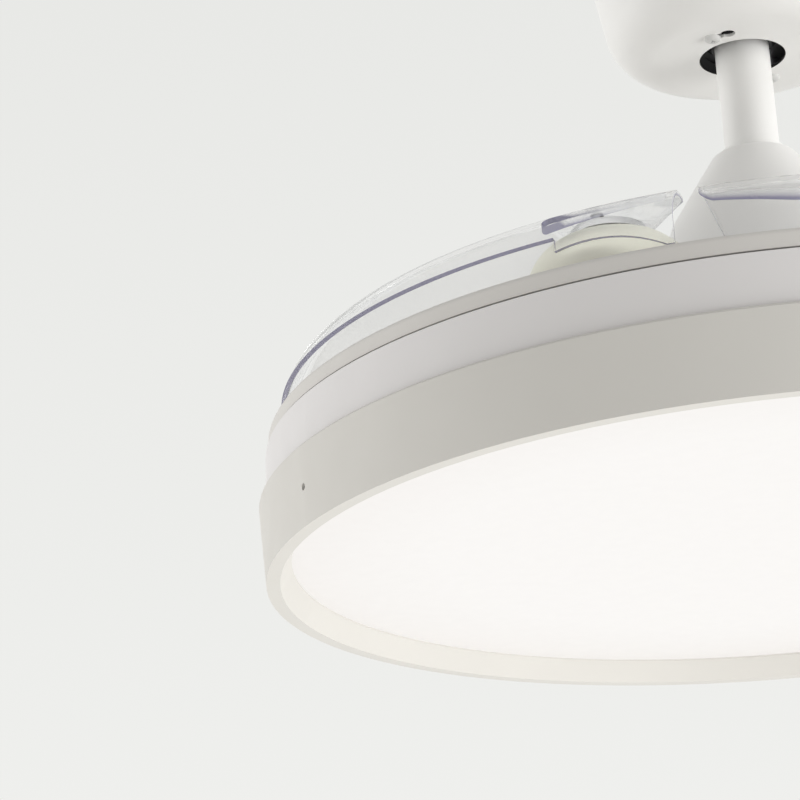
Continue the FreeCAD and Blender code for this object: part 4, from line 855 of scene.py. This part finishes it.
# %% [markdown]
# A coil and a spring are both a wire along a path. The path is a line of points worked out by a
# rule, and a second tree turns that line into a round wire.

# %% A tree that makes wire
def wire_tree():
    """Sweeps a round section along a path, and paints it."""
    tree = bpy.data.node_groups.new("round_wire", "GeometryNodeTree")
    add_socket(tree, "Path", "NodeSocketGeometry")
    add_socket(tree, "Wire radius", "NodeSocketFloat")
    add_socket(tree, "Sides", "NodeSocketInt")
    add_socket(tree, "Finish", "NodeSocketMaterial")
    add_socket(tree, "Wire", "NodeSocketGeometry", "OUTPUT")
    given = add_node(tree, "NodeGroupInput")
    made = add_node(tree, "NodeGroupOutput")
    line = add_node(tree, "GeometryNodeMeshToCurve")
    section = add_node(tree, "GeometryNodeCurvePrimitiveCircle")
    sweep = add_node(tree, "GeometryNodeCurveToMesh", {"Fill Caps": True})
    smooth = add_node(tree, "GeometryNodeSetShadeSmooth")
    real = add_node(tree, "GeometryNodeRealizeInstances")
    paint = add_node(tree, "GeometryNodeSetMaterial")
    link = tree.links.new
    link(given.outputs["Path"], line.inputs["Mesh"])
    link(given.outputs["Wire radius"], section.inputs["Radius"])
    link(given.outputs["Sides"], section.inputs["Resolution"])
    link(line.outputs["Curve"], sweep.inputs["Curve"])
    link(section.outputs["Curve"], sweep.inputs["Profile Curve"])
    link(sweep.outputs["Mesh"], smooth.inputs["Geometry"])
    link(smooth.outputs["Geometry"], real.inputs["Geometry"])
    link(real.outputs["Geometry"], paint.inputs["Geometry"])
    link(given.outputs["Finish"], paint.inputs["Material"])
    link(paint.outputs["Geometry"], made.inputs["Wire"])
    return tree


def wire_mesh(name, path, radius, sides, material):
    """A round wire along a path of points."""
    line = bpy.data.meshes.new(name + "_path")
    line.from_pydata(path, [(index, index + 1) for index in range(len(path) - 1)], [])
    host = host_of(line)
    use_tree(host, WIRE_TREE, {"Wire radius": radius, "Sides": sides, "Finish": material})
    print(name, "follows", len(path), "points")
    return plain_mesh(host, name)


WIRE_TREE = wire_tree()
print("tree", WIRE_TREE.name, "with", len(WIRE_TREE.nodes), "nodes")

# %% [markdown]
# The windings are enamelled copper: a warm metal under a thin clear coat. A coil goes round its
# tooth in two layers, out along the tooth and back. Each turn is a rounded rectangle: a circle
# whose sine and cosine are raised to a small power.

# %% Coils on the motor's teeth
COIL_TURNS = 11
COIL_STEPS = 20
COIL_LAYERS = 2
COIL_START = 0.0363
COIL_LENGTH = 0.020
COIL_WIRE = 0.0008
COIL_WIRE_SIDES = 6
COIL_ROUNDNESS = 0.35
TOOTH_COUNT = 12
TOOTH_HALF_WIDTH = 0.0048
TOOTH_HALF_HEIGHT = 0.0093
STATOR_LEVEL = -0.2288


def enamelled_copper():
    """Copper wire under clear enamel."""
    material = new_finish("enamelled_copper", (0.60, 0.26, 0.10), roughness=0.28, metallic=1.0)
    set_values(shader_of(material), {"Coat Weight": 0.6})
    drift_colour(material, grain(material, scale=300.0), (0.46, 0.18, 0.07), (0.64, 0.29, 0.12))
    drift_gloss(material, grain(material, scale=500.0), low=0.22, high=0.36)
    return material


def squared(value):
    """A sine or cosine, pushed towards one end of its range."""
    return math.copysign(abs(value) ** COIL_ROUNDNESS, value)


def coil_path():
    """The turns round a tooth that points along X."""
    path = []
    steps = COIL_TURNS * COIL_STEPS
    for layer in range(COIL_LAYERS):
        room = COIL_WIRE * (1 + 2 * layer)
        for step in range(steps + 1):
            share = step / steps
            along = share if layer == 0 else 1 - share
            angle = 2 * math.pi * COIL_TURNS * share
            reach = COIL_START + COIL_WIRE + along * (COIL_LENGTH - 2 * COIL_WIRE)
            across = (TOOTH_HALF_WIDTH + room) * squared(math.cos(angle))
            rise = (TOOTH_HALF_HEIGHT + room) * squared(math.sin(angle))
            path.append((reach, across, rise))
    return path


copper = enamelled_copper()
coil = wire_mesh("coil_sample", coil_path(), COIL_WIRE, COIL_WIRE_SIDES, copper)
tooth_turns = [index * 2 * math.pi / TOOTH_COUNT for index in range(TOOTH_COUNT)]
coil_places = [((0, 0, STATOR_LEVEL), turn) for turn in tooth_turns]
coils = on_points("stator_windings_wound", coil, coil_places, copper)
shown_piece("stator_windings_wound", coils, "hanging_side", "copper_wire", "stator_windings")

# %% [markdown]
# A return spring round every pivot folds its blade when the motor stops. It is a plain helix of
# spring steel that climbs from the foot of the solid it stands for. A Screw modifier could wind it,
# but the tree that makes wire is already here.

# %% Return springs
SPRING_RADIUS = 0.0126
SPRING_WIRE = 0.0009
SPRING_WIRE_SIDES = 10
SPRING_PITCH = 0.0032
SPRING_TURNS = 4
SPRING_STEPS = 40


def spring_path(arm, foot):
    """The turns of a spring round an arm's pivot, from the level of its foot."""
    path = []
    for step in range(SPRING_TURNS * SPRING_STEPS + 1):
        angle = math.radians(pivot_azimuth(arm)) + 2 * math.pi * step / SPRING_STEPS
        climb = SPRING_WIRE + SPRING_PITCH * step / SPRING_STEPS
        path.append(on_circle(SPRING_RADIUS, angle, foot + climb, pivot_place(arm)))
    return path


spring_steel = turned_steel("spring_steel", (0.50, 0.505, 0.515))
for arm in ARMS:
    name = "return_spring_%d" % arm
    path = spring_path(arm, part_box(name)[0].z)
    mesh = wire_mesh(name + "_wire", path, SPRING_WIRE, SPRING_WIRE_SIDES, spring_steel)
    shown_piece(name + "_wire", mesh, "rotor", "bright_steel", name)

# %% [markdown]
# The light comes from small chips in rings on the board, each with a yellow phosphor pad. They are
# behind the opal disc, so a bevelled block with a sunk pad is enough, and the tree that sets screws
# sets them all. The pad and the bevel are shares of the chip's size.

# %% Lamp chips
CHIP = 0.005
CHIP_HEIGHT = 0.001
CHIP_FOOT = -0.2696
CHIP_RINGS = ((0.1325, 16), (0.1725, 20), (0.2125, 24))
PAD_MARGIN = 0.14
PAD_DEPTH = 0.2
RIM_LEAST = 0.9
RIM_BEVEL = 0.05


def phosphor():
    """Yellow phosphor that glows a little."""
    material = new_finish("yellow_phosphor", (0.85, 0.66, 0.18), roughness=0.5)
    set_values(shader_of(material), {"Emission Color": (1, 0.86, 0.55, 1),
                                     "Emission Strength": 0.6})
    drift_colour(material, grain(material, scale=1800.0), (0.80, 0.58, 0.14), (0.88, 0.70, 0.22))
    return material


def chip_mesh():
    """A block with a sunk pad, its light side down."""
    shape = bmesh.new()
    corners = bmesh.ops.create_cube(shape, size=1.0)["verts"]
    for vertex in corners:
        x, y, z = vertex.co
        vertex.co = (x * CHIP, y * CHIP, (z - 0.5) * CHIP_HEIGHT)
    lower = [face for face in shape.faces if face.normal.z < -0.5]
    bmesh.ops.inset_individual(shape, faces=lower, thickness=CHIP * PAD_MARGIN,
                               depth=-CHIP_HEIGHT * PAD_DEPTH)
    rims = [edge for edge in shape.edges if edge.calc_length() > CHIP * RIM_LEAST]
    bmesh.ops.bevel(shape, geom=rims, offset=CHIP * RIM_BEVEL, segments=1, affect="EDGES")
    return finished_mesh(shape, "chip_sample")


chip_places = []
for radius, count in CHIP_RINGS:
    for index in range(count):
        angle = 2 * math.pi * index / count
        chip_places.append((on_circle(radius, angle, CHIP_FOOT), angle))
chips = on_points("led_chips_dressed", chip_mesh(), chip_places, phosphor())
shown_piece("led_chips_dressed", chips, "hanging_side", "chip", "led_chips")

# %% [markdown]
# The blades are clear plastic, and the eye finds their cut edge first: light is caught inside the
# sheet and leaves there, so the edge reads as a violet line. A thin sheet hardly shifts what lies
# behind it, so it bends light very little here, and a clear coat gives it the gloss of real
# plastic. The light of the cut edge is painted on instead: a dark violet painted refraction and a
# faint pale painted highlight. A slanting cut is wider than the sheet is thick, so a UV map holds
# how much of the painted refraction there is: full where the edge meets the sheet's hollow side and
# fading to the pale painted highlight on the other, which keeps the line thin.

# %% Clear plastic and the painted light of its cut edge
EDGE_LIGHT_MAP = "edge_tint"
EDGE_LIGHT_START = 0.2
EDGE_LIGHT_END = 0.8
# Painted light of the cut edges: a pale painted highlight, a dark violet painted refraction, and
# how much of each covers the edge.
PALE_PAINTED_HIGHLIGHT = (0.92, 0.925, 0.95)
VIOLET_PAINTED_REFRACTION = (0.25, 0.24, 0.37)
PAINTED_HIGHLIGHT_COVER = 0.28
PAINTED_REFRACTION_COVER = 0.88


def clear_plastic():
    """Clear sheet that hardly bends light, with a glossy skin."""
    material = new_finish("clear_blade_plastic", (0.986, 0.988, 0.994), roughness=0.02)
    set_values(shader_of(material), {"Transmission Weight": 1.0, "IOR": 1.01, "Coat Weight": 1.0,
                                     "Coat IOR": 1.49, "Coat Roughness": 0.03})
    drift_gloss(material, grain(material, scale=25.0), low=0.01, high=0.04)
    drift_colour(material, grain(material, scale=6.0), (0.980, 0.982, 0.990),
                 (0.992, 0.993, 0.997))
    return material


def edge_light_finish():
    """Painted light on a cut edge: violet painted refraction fading to a pale painted highlight."""
    material = new_finish("cut_blade_edge", (0.30, 0.29, 0.42), roughness=0.25)
    tree = material.node_tree
    shader = shader_of(material)
    set_values(shader, {"IOR": 1.49})
    edge_light = add_node(tree, "ShaderNodeUVMap")
    edge_light.uv_map = EDGE_LIGHT_MAP
    split = add_node(tree, "ShaderNodeSeparateXYZ")
    cover = add_node(tree, "ShaderNodeMapRange",
                     {"From Min": EDGE_LIGHT_START, "To Min": PAINTED_HIGHLIGHT_COVER,
                      "From Max": EDGE_LIGHT_END, "To Max": PAINTED_REFRACTION_COVER})
    tree.links.new(edge_light.outputs["UV"], split.inputs["Vector"])
    tree.links.new(split.outputs["X"], cover.inputs["Value"])
    tree.links.new(cover.outputs["Result"], shader.inputs["Alpha"])
    drift_colour(material, split.outputs["X"], PALE_PAINTED_HIGHLIGHT, VIOLET_PAINTED_REFRACTION, EDGE_LIGHT_START, EDGE_LIGHT_END)
    drift_gloss(material, grain(material, scale=300.0), low=0.16, high=0.30)
    return material


clear_blade = clear_plastic()
blade_edge = edge_light_finish()
print(clear_blade.name, "and", blade_edge.name, "for the blades")

# %% [markdown]
# A blade's faces are sorted by where they point. A face that looks along the rim belongs to an
# edge. The skirt over the hub hangs below the level of the outer rim, and the feet of both look
# down. Above that level the sheet lies nearly flat, so there an edge stands upright. The limits are
# parts of a unit normal. Marks set by hand would be lost each time the blade changes.

# %% Sorting the faces of a blade
EDGE_LEVEL = -0.2340
EDGE_BAND = 0.0010
BOSS_RADIUS = 0.017
RIM_EDGE_ALONG = 0.55
SKIRT_EDGE_LEVEL = 0.5
FOOT_DOWN = -0.7
UPRIGHT_LEVEL = 0.25
HOLLOW_DOWN = -0.2
HOLLOW_INWARD = -0.5


def outward_of(place):
    """The level direction from the fan's axis to a place."""
    return Vector((place.x, place.y, 0)).normalized()


def on_boss(place, pivot):
    """Tells whether a place is within the boss round a pivot."""
    return math.hypot(place.x - pivot[0], place.y - pivot[1]) < BOSS_RADIUS


def is_cut_edge(face, pivot):
    """Tells a cut edge from the blade's broad faces, and leaves the boss on the pivot clear."""
    middle = face.calc_center_median()
    outward = outward_of(middle)
    along = Vector((-outward.y, outward.x, 0))
    if on_boss(middle, pivot):
        return False
    if abs(face.normal.dot(along)) > RIM_EDGE_ALONG:
        return True
    if middle.z < EDGE_LEVEL - EDGE_BAND:
        return abs(face.normal.z) > SKIRT_EDGE_LEVEL
    if middle.z < EDGE_LEVEL + EDGE_BAND:
        return face.normal.z < FOOT_DOWN
    return abs(face.normal.z) < UPRIGHT_LEVEL


def is_hollow_side(face):
    """Tells the sheet's under and inner side, which the edge's dark painted refraction follows."""
    outward = outward_of(face.calc_center_median())
    return face.normal.z < HOLLOW_DOWN or face.normal.dot(outward) < HOLLOW_INWARD


print("the outer rim's foot is at", EDGE_LEVEL, "m")

# %% [markdown]
# The painted light of an edge is dark painted refraction where it touches the hollow side, and a
# pale painted highlight elsewhere. Feet and the nose of the slot beside the skirt are dark right
# through, and the slot's dark line thins out from its nose towards the root of the blade. Angles
# are in degrees from the root.

# %% The painted light of a cut edge
SLOT_START = 0.5
SLOT_NOSE_START = 11.5
SLOT_NOSE_END = 16.0
SLOT_LEAST_REFRACTION = 0.35
EDGE_LIGHT_ROW = 0.5


def corner_painted_light(face, corner, edge_faces, root_azimuth):
    """The painted light of one corner of an edge face, from nought for the pale highlight to one
    for dark.
    """
    spot = corner.co
    beside = [other for other in corner.link_faces if other not in edge_faces]
    on_foot = face.normal.z < FOOT_DOWN
    dark = on_foot or any(is_hollow_side(other) for other in beside)
    turn = (root_azimuth - math.degrees(math.atan2(spot.y, spot.x))) % 360
    in_slot = spot.z > EDGE_LEVEL + 2 * EDGE_BAND and SLOT_START < turn < SLOT_NOSE_END
    if in_slot and turn > SLOT_NOSE_START:
        return 1.0
    if in_slot and dark:
        return max(turn / SLOT_NOSE_START, SLOT_LEAST_REFRACTION)
    return 1.0 if dark else 0.0


def paint_edge_light(shape, edge_faces, root_azimuth):
    """Writes the painted light of every corner of the edge faces to a UV map."""
    edge_light = shape.loops.layers.uv.new(EDGE_LIGHT_MAP)
    for face in edge_faces:
        for loop in face.loops:
            loop[edge_light].uv = (corner_painted_light(face, loop.vert, edge_faces, root_azimuth), EDGE_LIGHT_ROW)


print("the slot ends", SLOT_NOSE_END, "degrees from the root")

# %% [markdown]
# Each blade is a copy of its solid with its doubled points merged, so that neighbouring faces know
# each other. Its boss is lifted off its pivot by a hair, because light can't tell two faces in one
# plane apart and the metal below would look black.

# %% Clear blades
BLADE_MERGE_REACH = 0.000002
BOSS_LIFT = 0.0001
ROOT_LEAD = 10.5
BLADE_SHARP_ANGLE = math.radians(32)


def lift_boss(shape, pivot, foot):
    """Lifts the points of the boss that stand on the pivot's flange."""
    count = 0
    for vertex in shape.verts:
        if on_boss(vertex.co, pivot) and abs(vertex.co.z - foot) < BOSS_LIFT / 2:
            vertex.co.z += BOSS_LIFT
            count += 1
    print(count, "points of the boss lifted")


for arm in ARMS:
    name = "blade_%d" % arm
    shape = bmesh.new()
    shape.from_mesh(nodes[name].data)
    bmesh.ops.remove_doubles(shape, verts=shape.verts, dist=BLADE_MERGE_REACH)
    shape.normal_update()
    lift_boss(shape, pivot_place(arm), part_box("blade_pivot_%d" % arm)[1].z)
    edge_faces = {face for face in shape.faces if is_cut_edge(face, pivot_place(arm))}
    paint_edge_light(shape, edge_faces, pivot_azimuth(arm) + ROOT_LEAD)
    for face in shape.faces:
        face.smooth = True
        face.material_index = 1 if face in edge_faces else 0
    print(len(edge_faces), "faces are cut edge")
    mesh = finished_mesh(shape, name + "_clear")
    mesh.materials.append(clear_blade)
    mesh.materials.append(blade_edge)
    mesh.set_sharp_from_angle(angle=BLADE_SHARP_ANGLE)
    shown_piece(name + "_clear", mesh, "blade_arm_%d" % arm, "clear_blade", name)
